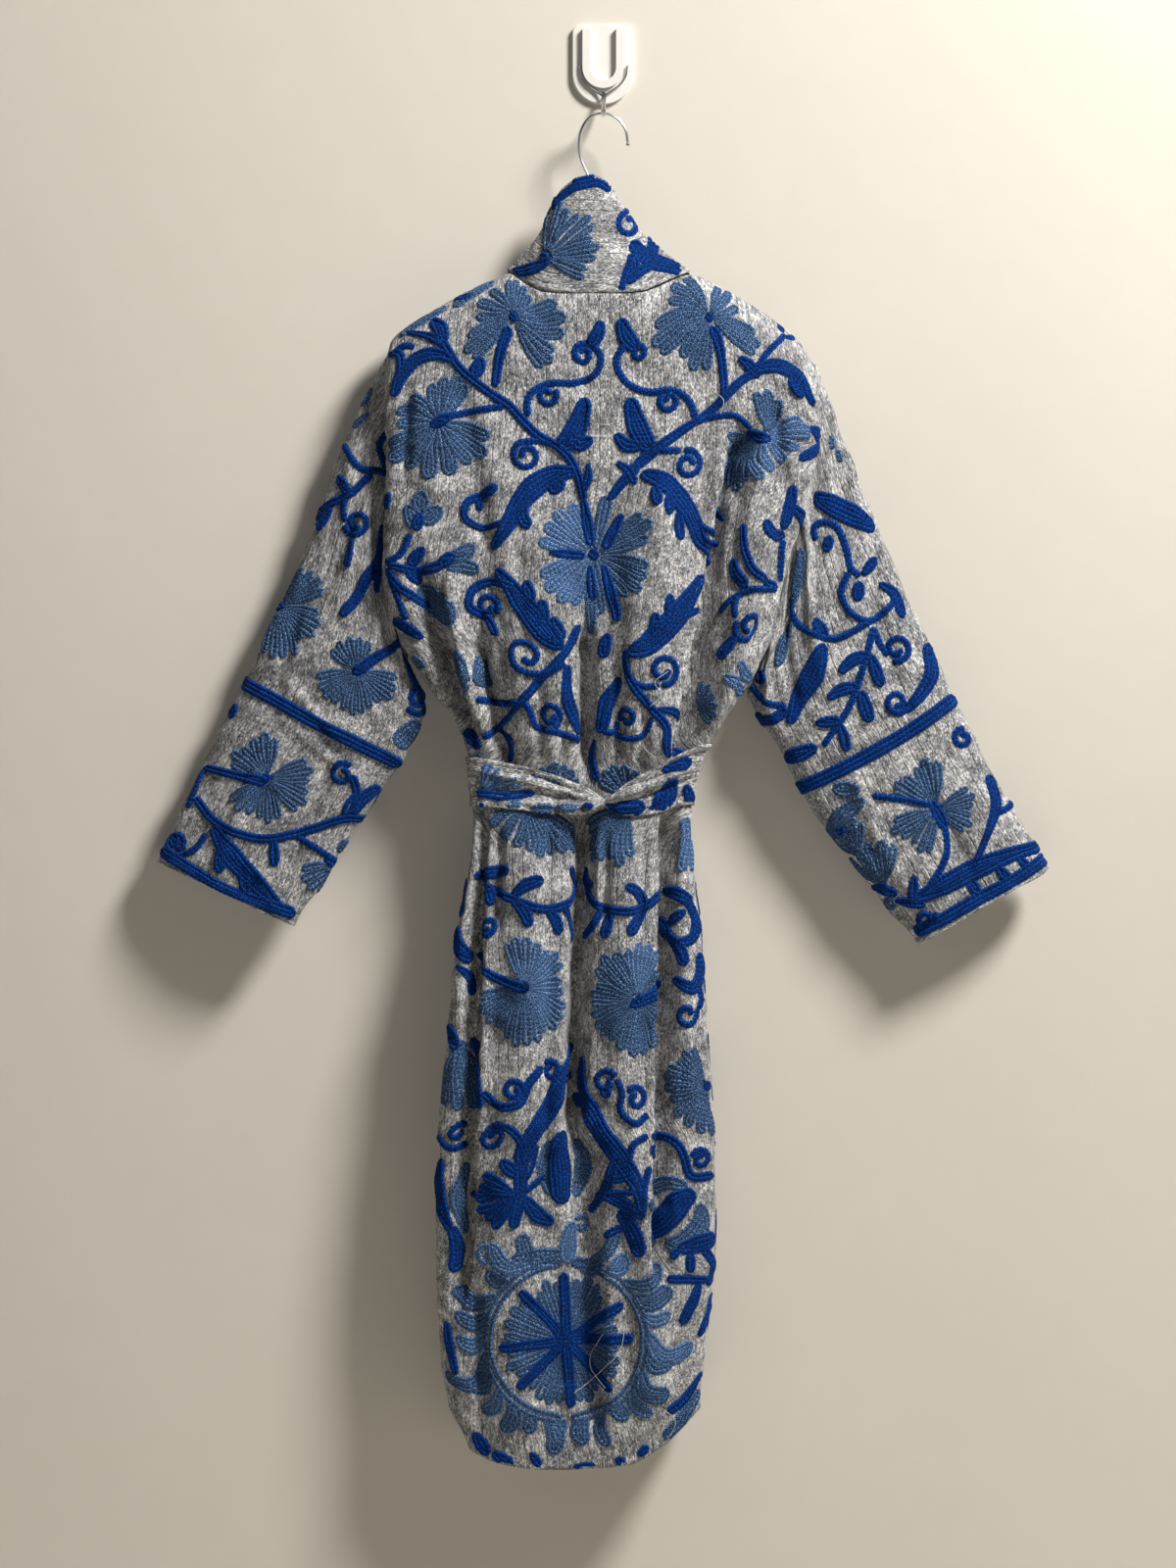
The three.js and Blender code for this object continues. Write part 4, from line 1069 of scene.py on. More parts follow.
# smooth line through flat places in even steps, with each step's share of the way
def curveThrough(points, step):
    points = np.asarray(points, float)
    if len(points) == 2:
        share = np.linspace(0, 1, max(int(np.linalg.norm(points[1] - points[0]) / step), 2) + 1)
        return mix(points[0], points[1], share[:, None]), share
    spans = np.linalg.norm(np.diff(points, axis=0), axis=1) ** 0.5
    knots = np.concatenate([[0], np.cumsum(np.maximum(spans, 1e-3))])
    fine = np.linspace(0, knots[-1], 40 * len(points))
    line = np.stack([spline(knots, points[:, i], fine) for i in range(2)], -1)
    reach = lengthAlong(line)
    at = np.linspace(0, reach[-1], max(int(reach[-1] / step), 2) + 1)
    return (np.stack([np.interp(at, reach, line[:, i]) for i in range(2)], -1),
            np.interp(at, reach, fine / knots[-1]))


# starts and ends of the runs in which something holds
def runs(holds):
    turns = np.flatnonzero(np.diff(np.concatenate([[0], holds.astype(int), [0]])))
    return zip(turns[::2], turns[1::2])


# one row of chain stitches along a flat line, laid on the hung cloth
def ribbon(name, tint, line, half):
    place, normal, inside = sampleCloth(panels[name], line)
    across, rise = acrossPlain if name in plainPanels else acrossFull
    store = stitches.setdefault((name, tint), {"points": [], "faces": [], "uv": [], "count": 0})
    for start, stop in runs(inside):
        if stop - start < 3:
            continue
        p, n = place[start:stop], normal[start:stop]
        if np.linalg.norm(np.diff(p, axis=0), axis=1).max() > yarn["jump"]:
            continue
        tangent = np.gradient(p, axis=0)
        side = np.cross(n, tangent)
        side /= np.maximum(np.linalg.norm(side, axis=1, keepdims=True), 1e-9)
        pulse = np.where(np.arange(len(p)) % 2 == 0, yarn["narrow"], yarn["wide"])
        h = half[start:stop] * pulse
        h[[0, -1]] *= 0.5
        pulse[[0, -1]] = yarn["tuckedEnd"]
        points = (p[:, None] + side[:, None] * (h[:, None] * across)[..., None]
                  + n[:, None] * (pulse[:, None] * rise * np.minimum(h[:, None] / 2, 1.1)
                                  + yarn["over"] * (tint == "royal"))[..., None])
        u = (lengthAlong(p) / yarn["stitch"] + random.uniform(0, 1))[:, None] + 0 * across
        v = np.broadcast_to((across + 1) / 2, u.shape)
        store["points"].append(points.reshape(-1, 3))
        store["uv"].append(np.stack([u, v], -1).reshape(-1, 2))
        store["faces"].append(gridFaces(*points.shape[:2])[:, ::-1] + store["count"])
        store["count"] += u.size


# even steps along a flat line, with a value carried along
def resampled(points, values, step):
    reach = lengthAlong(points)
    at = np.linspace(0, reach[-1], max(int(reach[-1] / step), 3) + 1)
    line = np.stack([np.interp(at, reach, points[:, i]) for i in range(2)], -1)
    return line, np.interp(at, reach, values)


# how much longer the hung cloth is than the flat one, from each place towards a side of it
def stretch(name, line, side, step=2, least=0.8, most=1.7):
    here, beside = [sampleCloth(panels[name], places)[0] for places in (line, line + side * step)]
    return np.clip(np.linalg.norm(beside - here, axis=1) / step, least, most)


bladeSizes = {
    "leastEnd": 1.5, "leastEdge": 0.1, "outline": 1.2, "outlineLeast": 1.8, "outlineMost": 0.66,
    "row": 0.75, "rowLeast": 1.6, "rowMost": 0.7, "evenRoom": 0.3, "oddRoom": 1.1, "shortest": 4,
}


# a filled shape along a line, round at its ends: one row round its outline, the rest inside
def blade(name, tint, flatPoints, widths, single=yarn["single"]):
    size = bladeSizes
    pitch = yarn["pitch"]
    step = yarn["step"] * (2 if name in plainPanels else 1)
    line, share = curveThrough(flatPoints, yarn["lineStep"])
    length = np.linalg.norm(np.diff(line, axis=0), axis=1).sum()
    widths = np.atleast_1d(np.asarray(widths, float))
    width = np.interp(share, np.linspace(0, 1, len(widths)), widths)
    if width.max() < single:
        half = np.clip(width / 2, yarn["thinnest"], yarn["thickest"])
        return ribbon(name, tint, *resampled(line, half, step))
    fromEnd = np.linspace(0, length, len(line))
    for away, end in ((fromEnd, widths[0]), (length - fromEnd, widths[-1])):
        radius = max(min(end / 2, length / 2), size["leastEnd"])
        width = width * np.sqrt(1 - np.clip(1 - away / radius, 0, 1) ** 2)
    tangent = np.gradient(line, axis=0)
    tangent /= np.maximum(np.linalg.norm(tangent, axis=1, keepdims=True), 1e-9)
    side = np.stack([-tangent[:, 1], tangent[:, 0]], -1)
    side = side / stretch(name, line, side)[:, None]
    edge = side * np.maximum(width / 2 - pitch / 2, size["leastEdge"])[:, None]
    half = np.clip(width / 4 * size["outline"], size["outlineLeast"], pitch * size["outlineMost"])
    outline = np.concatenate([line + edge, (line - edge)[::-1], (line + edge)[:2]])
    ribbon(name, tint, *resampled(outline, np.concatenate([half, half[::-1], half[:2]]), step))
    inner = int(round((width.max() - 2 * pitch) / pitch))
    room = width - 2 * pitch
    for k in range(inner):
        t = 0 if inner == 1 else 2 * k / (inner - 1) - 1
        row = line + side * (t * np.maximum(width / 2 - pitch * 1.5, 0))[:, None]
        half = np.clip(room / inner * size["row"], size["rowLeast"], pitch * size["rowMost"])
        # every second row stops where the shape narrows
        for start, stop in runs(room > size["evenRoom" if k % 2 == 0 else "oddRoom"] * pitch):
            if stop - start > size["shortest"]:
                ribbon(name, tint, *resampled(row[start:stop], half[start:stop], step))


# a stem through places seen on the hung cloth
def vine(name, tint, widths, points, facing):
    blade(name, tint, [flatPlace(name, x, z, facing)[0] for x, z in points], widths)


leafShares = (0.62, 1, 0.86)


# a leaf from its foot to its tip, bowed to one side by its bend
def leaf(name, tint, x, z, toX, toZ, width, bend, facing):
    foot, tip = flatPlace(name, x, z, facing)[0], flatPlace(name, toX, toZ, facing)[0]
    middle = (foot + tip) / 2 + np.array([foot[1] - tip[1], tip[0] - foot[0]]) * bend
    blade(name, tint, [foot, middle, tip], [width * share for share in leafShares])


# turn that best carries what is seen onto the flat cloth there
def turnAt(slope):
    if abs(np.linalg.det(slope)) < search["flattest"]:
        return np.eye(2)
    left, _, right = np.linalg.svd(np.linalg.inv(slope))
    return left @ right


# mean stretch of the hung cloth round a flat place
def spreadAt(name, middle):
    ways = np.array([[1.0, 0], [0, 1], [-1, 0], [0, -1]])
    return stretch(name, np.tile(middle, (4, 1)), ways).mean()


# reads places round a middle as they hang: turned with the cloth as one, so that a fold
# doesn't bend them, or on collar and sleeves each looked up on its own
def around(name, x, z, facing):
    middle, slope = flatPlace(name, x, z, facing)
    if name == "collar" or name.startswith("sleeve"):
        return lambda off: flatPlace(name, x + off[0], z + off[1], facing)[0]
    turn = turnAt(slope) / spreadAt(name, middle)
    return lambda off: middle + turn @ np.asarray(off)


curlSizes = {"points": 14, "inwards": 0.72, "tighter": 1.15, "widths": (8, 7, 7, 8.5)}


# curl that winds inwards and ends in a small bulb
def curl(name, tint, x, z, radius, start, turns, facing):
    place = around(name, x, z, facing)
    line = []
    for share in np.linspace(0, 1, curlSizes["points"]):
        angle = math.radians(start + 360 * turns * share)
        reach = radius * (1 - curlSizes["inwards"] * share ** curlSizes["tighter"])
        line.append(place((math.cos(angle) * reach, math.sin(angle) * reach)))
    blade(name, tint, line, curlSizes["widths"])


flowerSizes = {
    "sway": 1, "uneven": 0.03, "shorter": 0.09, "tip": 0.98, "bow": 0.04, "foot": 0.1, "middle": 0.55,
    "tuck": 0.08, "leastFoot": 4, "shares": (0.4, 0.78, 0.96), "single": 7.4, "large": 40,
}


# open flower of lobes, each of round-ended fingers that spread from the middle
def flower(name, tint, x, z, lobes, facing):
    size, place = flowerSizes, around(name, x, z, facing)
    sway, uneven = size["sway"], size["uneven"]
    for low, high, length, fingers in lobes:
        each = (high - low) / fingers
        for i in range(fingers):
            angle = math.radians(low + each * (i + 0.5) + random.uniform(-sway, sway))
            off = 0 if fingers == 1 else 2 * i / (fingers - 1) - 1
            reach = length * (1 - size["shorter"] * abs(off) ** 1.4 + random.uniform(-uneven, uneven))
            tip = 2 * reach * math.sin(math.radians(abs(each)) / 2) * size["tip"]
            way = np.array([math.cos(angle), math.sin(angle)])
            bend = np.array([-math.sin(angle), math.cos(angle)]) * off * reach * size["bow"]
            foot, middle = way * reach * size["foot"], way * reach * size["middle"] + bend
            widths = [tip * share for share in size["shares"]]
            widths[0] = max(widths[0], size["leastFoot"])
            blade(name, tint, [place(foot), place(middle), place(way * (reach - tip * size["tuck"]))],
                  widths, size["single"])
    # a large flower has a royal stitch in its middle
    if lobes[-1][2] > size["large"]:
        blade(name, "royal", [place((-4, 1)), place((0, 0)), place((4, -1))], (9, 11, 9))


# what is sewn on the back, in mm as it hangs: vines give their width and the places they run
# through, leaves their foot, tip and width and for some a bend, curls their middle, radius, start
# and turns, and flowers their middle and the lobes of petals: from and to in degrees, length, petals
backSewing = {"royal": {}, "steel": {}, "sky": {}}
backSewing["royal"]["vines"] = [
    (9, (-164, -290), (-146, -318), (-118, -342), (-92, -360), (-66, -387), (-42, -402), (-24, -432),
     (-19, -454)), ((6, 8, 13), (-200, -280), (-180, -284), (-165, -290)),
    ((8, 15, 17, 12), (-152, -310), (-172, -304), (-192, -310), (-206, -326), (-213, -346)),
    ((12, 10, 8), (-96, -276), (-104, -302), (-110, -338)), (8, (-158, -368), (-130, -362), (-100, -357)),
    (8, (-12, -292), (-2, -306), (-6, -323), (-26, -333), (-58, -335), (-76, -348), (-77, -368)),
    (8, (-48, -396), (-66, -393), (-82, -394)),
    ((10, 20, 24, 20, 15, 9), (-26, -424), (-50, -428), (-70, -440), (-86, -460), (-98, -482),
     (-112, -503)),
    ((7, 8, 10), (-100, -476), (-122, -482), (-141, -470), (-138, -456), (-122, -449), (-108, -439)),
    (8, (23, -293), (14, -312), (24, -333), (48, -343), (70, -341), (88, -352), (96, -373)),
    ((13, 9, 8), (112, -276), (120, -298), (124, -350)),
    (9, (96, -374), (112, -361), (140, -333), (158, -322)),
    ((8, 15, 20, 18, 10), (158, -322), (174, -316), (192, -321), (206, -333), (217, -357)),
    (7, (157, -318), (168, -303), (186, -282)), (7, (98, -373), (116, -368), (134, -367), (152, -380)),
    ((8, 10, 12), (96, -373), (72, -387), (50, -404), (34, -419)),
    ((12, 10, 8), (36, -418), (20, -436), (6, -454)), (8, (58, -403), (70, -403), (81, -403)),
    ((12, 21, 22, 18, 14, 10), (40, -427), (62, -435), (78, -452), (92, -475), (101, -496), (110, -517)),
    (7, (90, -466), (104, -482), (119, -499)),
    (9, (-90, -543), (-112, -537), (-132, -545), (-135, -562), (-116, -576), (-108, -592)),
    (8, (-38, -620), (-58, -631), (-80, -630)),
    ((9, 15, 21, 25, 23, 14), (-108, -524), (-96, -540), (-83, -556), (-70, -574), (-57, -591),
     (-42, -604)), (9, (-82, -659), (-62, -635), (-42, -614), (-32, -600), (-24, -582)),
    (8, (-128, -657), (-100, -661), (-78, -662), (-66, -684), (-44, -691), (-24, -699)),
    (8, (-82, -660), (-96, -676), (-124, -696)),
    ((9, 16, 23, 25, 22, 13), (103, -531), (89, -552), (76, -571), (60, -588), (44, -602), (26, -610)),
    (9, (24, -606), (25, -630), (44, -660), (65, -687), (70, -716)),
    (7, (28, -638), (42, -644), (58, -643)), (7, (0, -690), (12, -690), (16, -680)),
    (7, (12, -693), (30, -697), (44, -690), (50, -676)),
    (9, (143, -478), (146, -508), (160, -530), (178, -542)),
    (8, (178, -544), (148, -546), (131, -555), (119, -568)), (8, (184, -494), (175, -514), (182, -536)),
    (8, (138, -550), (134, -562), (135, -574)), (8, (-222, -518), (-206, -508), (-196, -488)),
    ((7, 10, 11), (-220, -519), (-190, -526), (-162, -520)), (9, (-220, -523), (-200, -546), (-176, -563)),
    (8, (-218, -528), (-208, -552), (-200, -576)),
    (9, (-122, -842), (-92, -860), (-58, -870), (-36, -865), (-29, -846), (-33, -828)),
    (9, (-18, -838), (-10, -862), (16, -872), (42, -868), (60, -852)),
    ((7, 9, 12), (-128, -916), (-112, -938), (-78, -951)),
    (9, (-122, -1056), (-104, -1070), (-84, -1066), (-74, -1046), (-62, -1030)),
    ((8, 15, 19, 21, 18, 15), (-34, -1008), (-38, -1034), (-50, -1064), (-66, -1092), (-80, -1114),
     (-84, -1128)), (8, (14, -1042), (20, -1056), (18, -1074), (32, -1087), (47, -1078)),
    ((8, 16, 21, 22, 20, 16, 10), (-20, -1020), (-21, -1046), (-12, -1078), (4, -1105), (22, -1128),
     (36, -1152), (40, -1176)), (9, (-80, -1112), (-88, -1098), (-100, -1089)),
    (8, (-168, -1100), (-156, -1113), (-138, -1109)),
    ((16, 14, 11), (-84, -1124), (-84, -1158), (-91, -1193)),
    ((12, 17, 10), (-80, -1163), (-66, -1180), (-50, -1188)),
    (8, (-84, -1160), (-108, -1161), (-134, -1160)),
    (9, (50, -1100), (70, -1104), (83, -1122), (90, -1141), (112, -1141)),
    (8, (26, -1128), (30, -1110), (46, -1099)), (8, (40, -1178), (42, -1156), (48, -1131)),
    ((15, 27, 27, 14), (51, -1208), (62, -1186), (80, -1166), (93, -1158)),
    (9, (66, -1245), (84, -1246), (106, -1247)),
    ((9, 12, 9), (86, -860), (95, -880), (92, -898), (72, -908)),
    ((9, 14, 14, 9), (98, -915), (100, -934), (92, -950), (72, -941)),
    (8, (98, -950), (100, -962), (97, -972)),
    ((8, 17, 15, 8), (-164, -1125), (-167, -1152), (-163, -1178), (-154, -1198)),
    ((9, 12, 9), (-158, -1290), (-156, -1314), (-150, -1342)),
]
backSewing["royal"]["leaves"] = [
    (-152, -247, -134, -243, 9), (-174, -268, -163, -294, 17, 0.1), (-125, -307, -133, -327, 15, 0.1),
    (-219, -303, -208, -327, 10, 0.2), (-216, -303, -192, -296, 8, 0.1), (-176, -377, -156, -368, 13),
    (-2, -270, -13, -295, 14, 0.1), (-17, -350, -42, -402, 22, 0.06), (-11, -391, -34, -387, 15, 0.3),
    (-15, -416, -21, -446, 9, 0.1), (-42, -430, -52, -446, 18), (-78, -452, -75, -482, 14, -0.2),
    (-126, -451, -124, -464, 9), (19, -268, 36, -300, 18, -0.1), (194, -328, 202, -348, 15),
    (139, -308, 160, -327, 13, 0.1), (177, -266, 184, -280, 9), (186, -285, 199, -284, 8),
    (148, -383, 168, -393, 14), (28, -350, 49, -403, 22, -0.06), (13, -386, 40, -398, 14, -0.2),
    (14, -415, 33, -437, 10, 0.1), (53, -440, 56, -459, 12), (66, -448, 69, -468, 11),
    (77, -466, 80, -494, 11), (120, -450, 124, -473, 9), (214, -378, 203, -412, 20, 0.1),
    (194, -438, 184, -482, 13), (166, -474, 184, -490, 13, -0.2), (192, -458, 210, -482, 12),
    (-54, -507, -18, -511, 10), (20, -468, 2, -504, 12), (-20, -452, -12, -500, 12),
    (2, -520, 15, -577, 12), (-12, -520, -10, -556, 10), (-26, -584, -30, -600, 9), (6, -590, 1, -614, 14),
    (18, -636, -3, -690, 16, -0.1), (-36, -622, -24, -692, 14, -0.12), (-8, -698, -6, -740, 10, -0.1),
    (-76, -536, -72, -558, 13), (-62, -556, -59, -582, 14), (-51, -573, -40, -594, 11),
    (-106, -687, -97, -720, 9, 0.1), (68, -550, 68, -575, 12), (53, -569, 52, -594, 13),
    (100, -565, 71, -580, 9, -0.1), (54, -667, 79, -678, 9, 0.1), (134, -513, 147, -541, 14, -0.15),
    (136, -592, 120, -615, 13), (72, -704, 97, -720, 11, 0.1), (70, -711, 90, -725, 9),
    (196, -559, 192, -577, 11), (-182, -502, -197, -520, 13), (-199, -522, -186, -538, 13),
    (-167, -520, -151, -510, 14), (-214, -576, -185, -594, 14, 0.1), (-187, -466, -190, -484, 13),
    (-218, -445, -222, -462, 10), (-132, -689, -121, -706, 14), (-130, -837, -96, -830, 13),
    (-117, -845, -114, -866, 12), (-92, -857, -61, -840, 13, 0.1), (-92, -860, -74, -887, 13, 0.1),
    (-57, -870, -44, -895, 12, 0.1), (-40, -868, -28, -901, 11, 0.1), (-16, -828, -10, -847, 10, -0.4),
    (24, -846, 44, -866, 13, 0.1), (45, -865, 27, -895, 13), (8, -870, 1, -899, 12),
    (-2, -866, -19, -899, 10, 0.15), (60, -945, 28, -967, 13), (-133, -1002, -126, -1072, 13, 0.1),
    (-44, -1044, -32, -1039, 11), (0, -1051, 6, -1060, 13), (-30, -1060, -21, -1069, 13),
    (-103, -1125, -88, -1140, 15), (-80, -1158, -58, -1140, 8), (-66, -1109, -81, -1146, 11),
    (-40, -1096, -42, -1168, 25), (-13, -1178, 15, -1121, 12, -0.1), (0, -1147, 28, -1141, 9),
    (-7, -1160, 36, -1156, 8), (-1, -1159, 42, -1181, 14, 0.05), (17, -1176, 39, -1221, 19, 0.05),
    (23, -1191, 2, -1202, 9), (50, -1110, 54, -1121, 14), (76, -1216, 113, -1205, 19),
    (90, -1215, 87, -1239, 10), (79, -1213, 70, -1225, 9), (104, -1211, 108, -1252, 14),
    (98, -1250, 81, -1291, 13, 0.05), (112, -1260, 99, -1304, 11, 0.05), (-143, -841, -145, -878, 20, -0.2),
    (-148, -889, -134, -922, 17, -0.2), (-149, -928, -133, -958, 10, 0.2), (-158, -988, -149, -1013, 14),
    (62, -852, 90, -864, 14, 0.1), (60, -880, 68, -899, 16), (66, -896, 83, -927, 15, 0.1),
    (84, -872, 68, -884, 11), (-153, -1193, -152, -1238, 18, 0.1), (99, -1343, 65, -1381, 11, 0.1),
    (14, -1427, 23, -1435, 10), (-31, -1436, -8, -1436, 9), (-111, -1423, -93, -1434, 13),
    (-131, -1403, -117, -1424, 15), (-167, -1361, -149, -1404, 13), (-72, -1422, -66, -1436, 10),
    (36, -1424, 46, -1417, 10),
]
backSewing["royal"]["curls"] = [
    (-19, -304, 11, 70, 1.3), (-57, -346, 11, 35, -1.1), (-77, -408, 15, 110, 1.3),
    (68, -352, 11, 140, 1.2), (36, -303, 8, 80, -0.9), (87, -417, 15, 112, -1.35),
    (-118, -562, 12, -50, 1.2), (-77, -612, 18, -98, -1.15), (-51, -674, 13, -50, 1.3),
    (62, -627, 16, -105, 1.3), (25, -676, 10, 200, -1.1), (151, -582, 17, 152, 1.35),
    (-118, -888, 10, 235, 1.3), (86, -977, 12, 25, -1.1), (-53, -1034, 10, 130, -1.2),
    (-90, -1054, 11, -30, 1.3), (3, -1045, 12, 20, 1.1), (34, -1062, 12, 140, -1.2),
    (-110, -1101, 14, 60, 1.4), (-147, -1097, 10, 30, 1.1), (100, -1124, 10, 170, -1.4),
]
backSewing["royal"]["flowers"] = [(-86, -1160, (142, 176, 48, 2), (178, 206, 50, 2), (208, 240, 46, 2))]
backSewing["steel"]["vines"] = [
    ((10, 14, 13), (-112, -229), (-132, -240), (-152, -253)),
    ((8, 12, 10), (-160, -254), (-184, -268), (-207, -283)),
    ((22, 34, 28), (-188, -548), (-168, -562), (-150, -574)),
    ((8, 20, 9), (-53, -1104), (-59, -1132), (-53, -1160)),
    ((8, 21, 10), (-27, -1104), (-19, -1132), (-28, -1162)),
    ((8, 20, 9), (-138, -1128), (-147, -1164), (-139, -1200)),
    ((12, 16, 12), (47, -1172), (64, -1148), (86, -1152)),
    ((14, 23, 22, 12), (64, -1212), (86, -1206), (100, -1188), (99, -1170)),
    ((10, 16, 13), (98, -1361), (82, -1386), (62, -1406)),
]
backSewing["steel"]["leaves"] = [
    (-156, -511, -131, -501, 17, -0.1), (-158, -523, -127, -525, 15, 0.1), (-184, -444, -187, -464, 19),
    (-164, -462, -184, -475, 20), (-200, -459, -189, -482, 19), (-195, -615, -182, -623, 13),
    (-127, -713, -117, -740, 18), (-108, -728, -85, -737, 20), (-16, -546, -12, -590, 12),
]
backSewing["steel"]["flowers"] = [
    (-91, -266, (-22, 24, 68, 3), (-72, -32, 56, 3), (163, 203, 60, 3), (106, 156, 50, 3), (34, 92, 44, 4)),
    (109, -266, (162, 204, 72, 3), (213, 256, 60, 3), (-34, 4, 64, 3), (16, 62, 50, 3), (102, 152, 54, 3)),
    (-168, -374, (46, 116, 49, 4), (126, 186, 52, 3), (198, 252, 62, 3), (262, 302, 64, 2),
     (308, 356, 64, 3)),
    (166, -388, (64, 106, 60, 3), (-106, -68, 66, 3), (172, 202, 56, 2), (206, 252, 68, 3)),
    (-8, -510, (6, 44, 66, 3), (-60, -10, 66, 4), (76, 92, 62, 1), (260, 280, 64, 1)),
    (-134, -642, (16, 80, 42, 4), (116, 198, 42, 5), (205, 240, 34, 2)),
    (96, -664, (-64, -4, 30, 3), (4, 64, 30, 3)), (21, -754, (22, 158, 32, 6)),
    (-52, -754, (20, 150, 34, 6)), (-74, -760, (205, 245, 62, 3), (248, 285, 60, 3), (288, 326, 62, 3)),
    (27, -766, (200, 232, 50, 2), (236, 268, 64, 3), (271, 304, 66, 3)),
    (-80, -950, (182, 239, 56, 4), (243, 290, 62, 4)),
    (36, -962, (110, 152, 60, 3), (155, 191, 54, 3), (194, 242, 57, 4), (246, 302, 60, 4), (22, 60, 44, 3),
     (-50, -10, 44, 3)), (-148, -1002, (246, 300, 70, 4), (306, 330, 40, 2)),
    (106, -1050, (112, 152, 48, 3), (155, 207, 56, 4), (211, 266, 58, 4)),
    (-37, -1308, (40, 86, 70, 4), (98, 128, 68, 3), (136, 182, 72, 4), (190, 220, 71, 3), (227, 268, 71, 4),
     (278, 308, 72, 3), (-44, -4, 72, 4), (5, 30, 70, 2)),
]
backSewing["sky"]["vines"] = [((10, 13, 12), (80, -778), (84, -802), (80, -832))]
backSewing["sky"]["leaves"] = [
    (138, -619, 150, -637, 14), (124, -633, 143, -650, 15), (90, -800, 92, -832, 10),
    (194, -576, 182, -624, 16, -0.1),
]
backSewing["sky"]["flowers"] = [
    (166, -388, (2, 42, 58, 3), (-64, -12, 70, 4)), (-10, -508, (112, 170, 66, 4), (192, 254, 64, 4)),
    (-80, -950, (62, 114, 54, 4), (22, 58, 54, 3), (-16, 16, 48, 2), (-68, -20, 57, 4)),
    (36, -962, (64, 106, 60, 4)),
]
# the wheel at the hem: spokes over its petals, a band round them, then leaves that lean round it
wheel = {"x": -37, "z": -1308, "radius": 75}
wheelSpokes = {"angles": [2, 33, 92, 132, 186, 224, 274, 312], "reach": (2, 38, 68), "widths": (12, 11, 10)}
wheelBand = {"starts": (94, 274), "turn": 172, "places": 11, "out": 5, "width": 11}
wheelLeaves = {
    "count": 25, "start": 100, "turn": 340, "out": 7, "tipOut": 11, "reach": 31, "width": 18,
    "lean": 0.22, "leanShare": 0.9, "bend": 0.18, "foot": 270, "footReach": 60, "footShare": 0.72,
    "uneven": 0.35, "unevenWidth": 4, "rhythm": {"length": 2.4, "width": 3.1, "tint": 1.7},
}
# its finial, from the top of the wheel: stems, then curls
finialStems = [
    ("sky", (16, 20, 15, 11), [(0, 4), (2, 22), (4, 38), (8, 44)]),
    ("steel", (9, 15, 9), [(-3, 14), (-28, 12), (-54, 10)]),
    ("sky", (9, 17, 15, 8), [(-8, 2), (-34, 6), (-58, 0), (-78, 4)]),
    ("steel", (9, 16, 12), [(8, 8), (26, -4), (38, 6)]),
]
finialCurls = [(15, 42, 9, 150, -1.0), (-80, 14, 11, -90, -1.1)]
leftSleeveSewing = {"royal": {}, "steel": {}}
leftSleeveSewing["royal"]["vines"] = [
    (8, (-266, -395), (-250, -418), (-222, -425)), (9, (-237, -426), (-262, -447), (-288, -460)),
    (8, (-263, -447), (-266, -462), (-264, -474)),
    ((8, 14, 15, 10), (-225, -478), (-229, -509), (-244, -536), (-268, -570)),
    ((13, 9, 8), (-252, -629), (-232, -613), (-206, -596)), (8, (-220, -382), (-229, -396), (-222, -420)),
    (13, (-373, -636), (-330, -660), (-290, -682), (-250, -702), (-207, -723)),
    ((13, 9, 8), (-344, -741), (-372, -735), (-409, -726)), (8, (-409, -727), (-418, -748), (-426, -768)),
    (9, (-418, -757), (-396, -782), (-350, -799), (-300, -790), (-262, -778), (-240, -779)),
    (9, (-256, -774), (-251, -752), (-256, -734)), (8, (-313, -796), (-294, -808), (-270, -825)),
    ((12, 22, 19, 10), (-399, -787), (-378, -819), (-353, -845), (-327, -873)),
    (8, (-406, -794), (-416, -808), (-430, -816)),
    (14, (-453, -811), (-420, -832), (-385, -851), (-349, -865), (-315, -876)),
]
leftSleeveSewing["royal"]["leaves"] = [
    (-272, -428, -260, -445, 14), (-277, -458, -293, -481, 12), (-289, -456, -295, -471, 8),
    (-255, -490, -263, -520, 11), (-206, -324, -216, -345, 16), (-228, -514, -231, -546, 11),
    (-377, -661, -382, -675, 14), (-256, -775, -228, -746, 13, 0.1), (-252, -752, -264, -775, 11),
    (-336, -799, -335, -827, 11), (-390, -806, -392, -833, 12), (-369, -824, -364, -854, 12),
    (-437, -794, -441, -807, 14),
]
leftSleeveSewing["royal"]["curls"] = [
    (-252, -475, 13, 190, 1.35), (-187, -657, 15, -150, 1.3), (-266, -733, 12, 40, 1.2),
    (-436, -804, 13, -60, -1.2),
]
leftSleeveSewing["steel"]["vines"] = [((16, 24), (-188, -680), (-208, -704))]
leftSleeveSewing["steel"]["leaves"] = [
    (-237, -336, -247, -354, 11), (-240, -363, -256, -376, 10), (-268, -802, -256, -814, 15),
]
leftSleeveSewing["steel"]["flowers"] = [
    (-332, -560, (12, 64, 52, 4), (-62, -4, 48, 4), (-114, -66, 58, 4)),
    (-251, -627, (58, 152, 37, 5), (182, 240, 46, 4), (244, 296, 46, 4), (300, 356, 46, 4)),
    (-344, -737, (70, 116, 47, 3), (120, 166, 44, 3), (-52, -14, 50, 3), (-10, 30, 50, 3),
     (204, 250, 48, 3), (254, 294, 48, 3)), (-270, -825, (178, 244, 42, 4)),
]
rightSleeveSewing = {"royal": {}, "steel": {}}
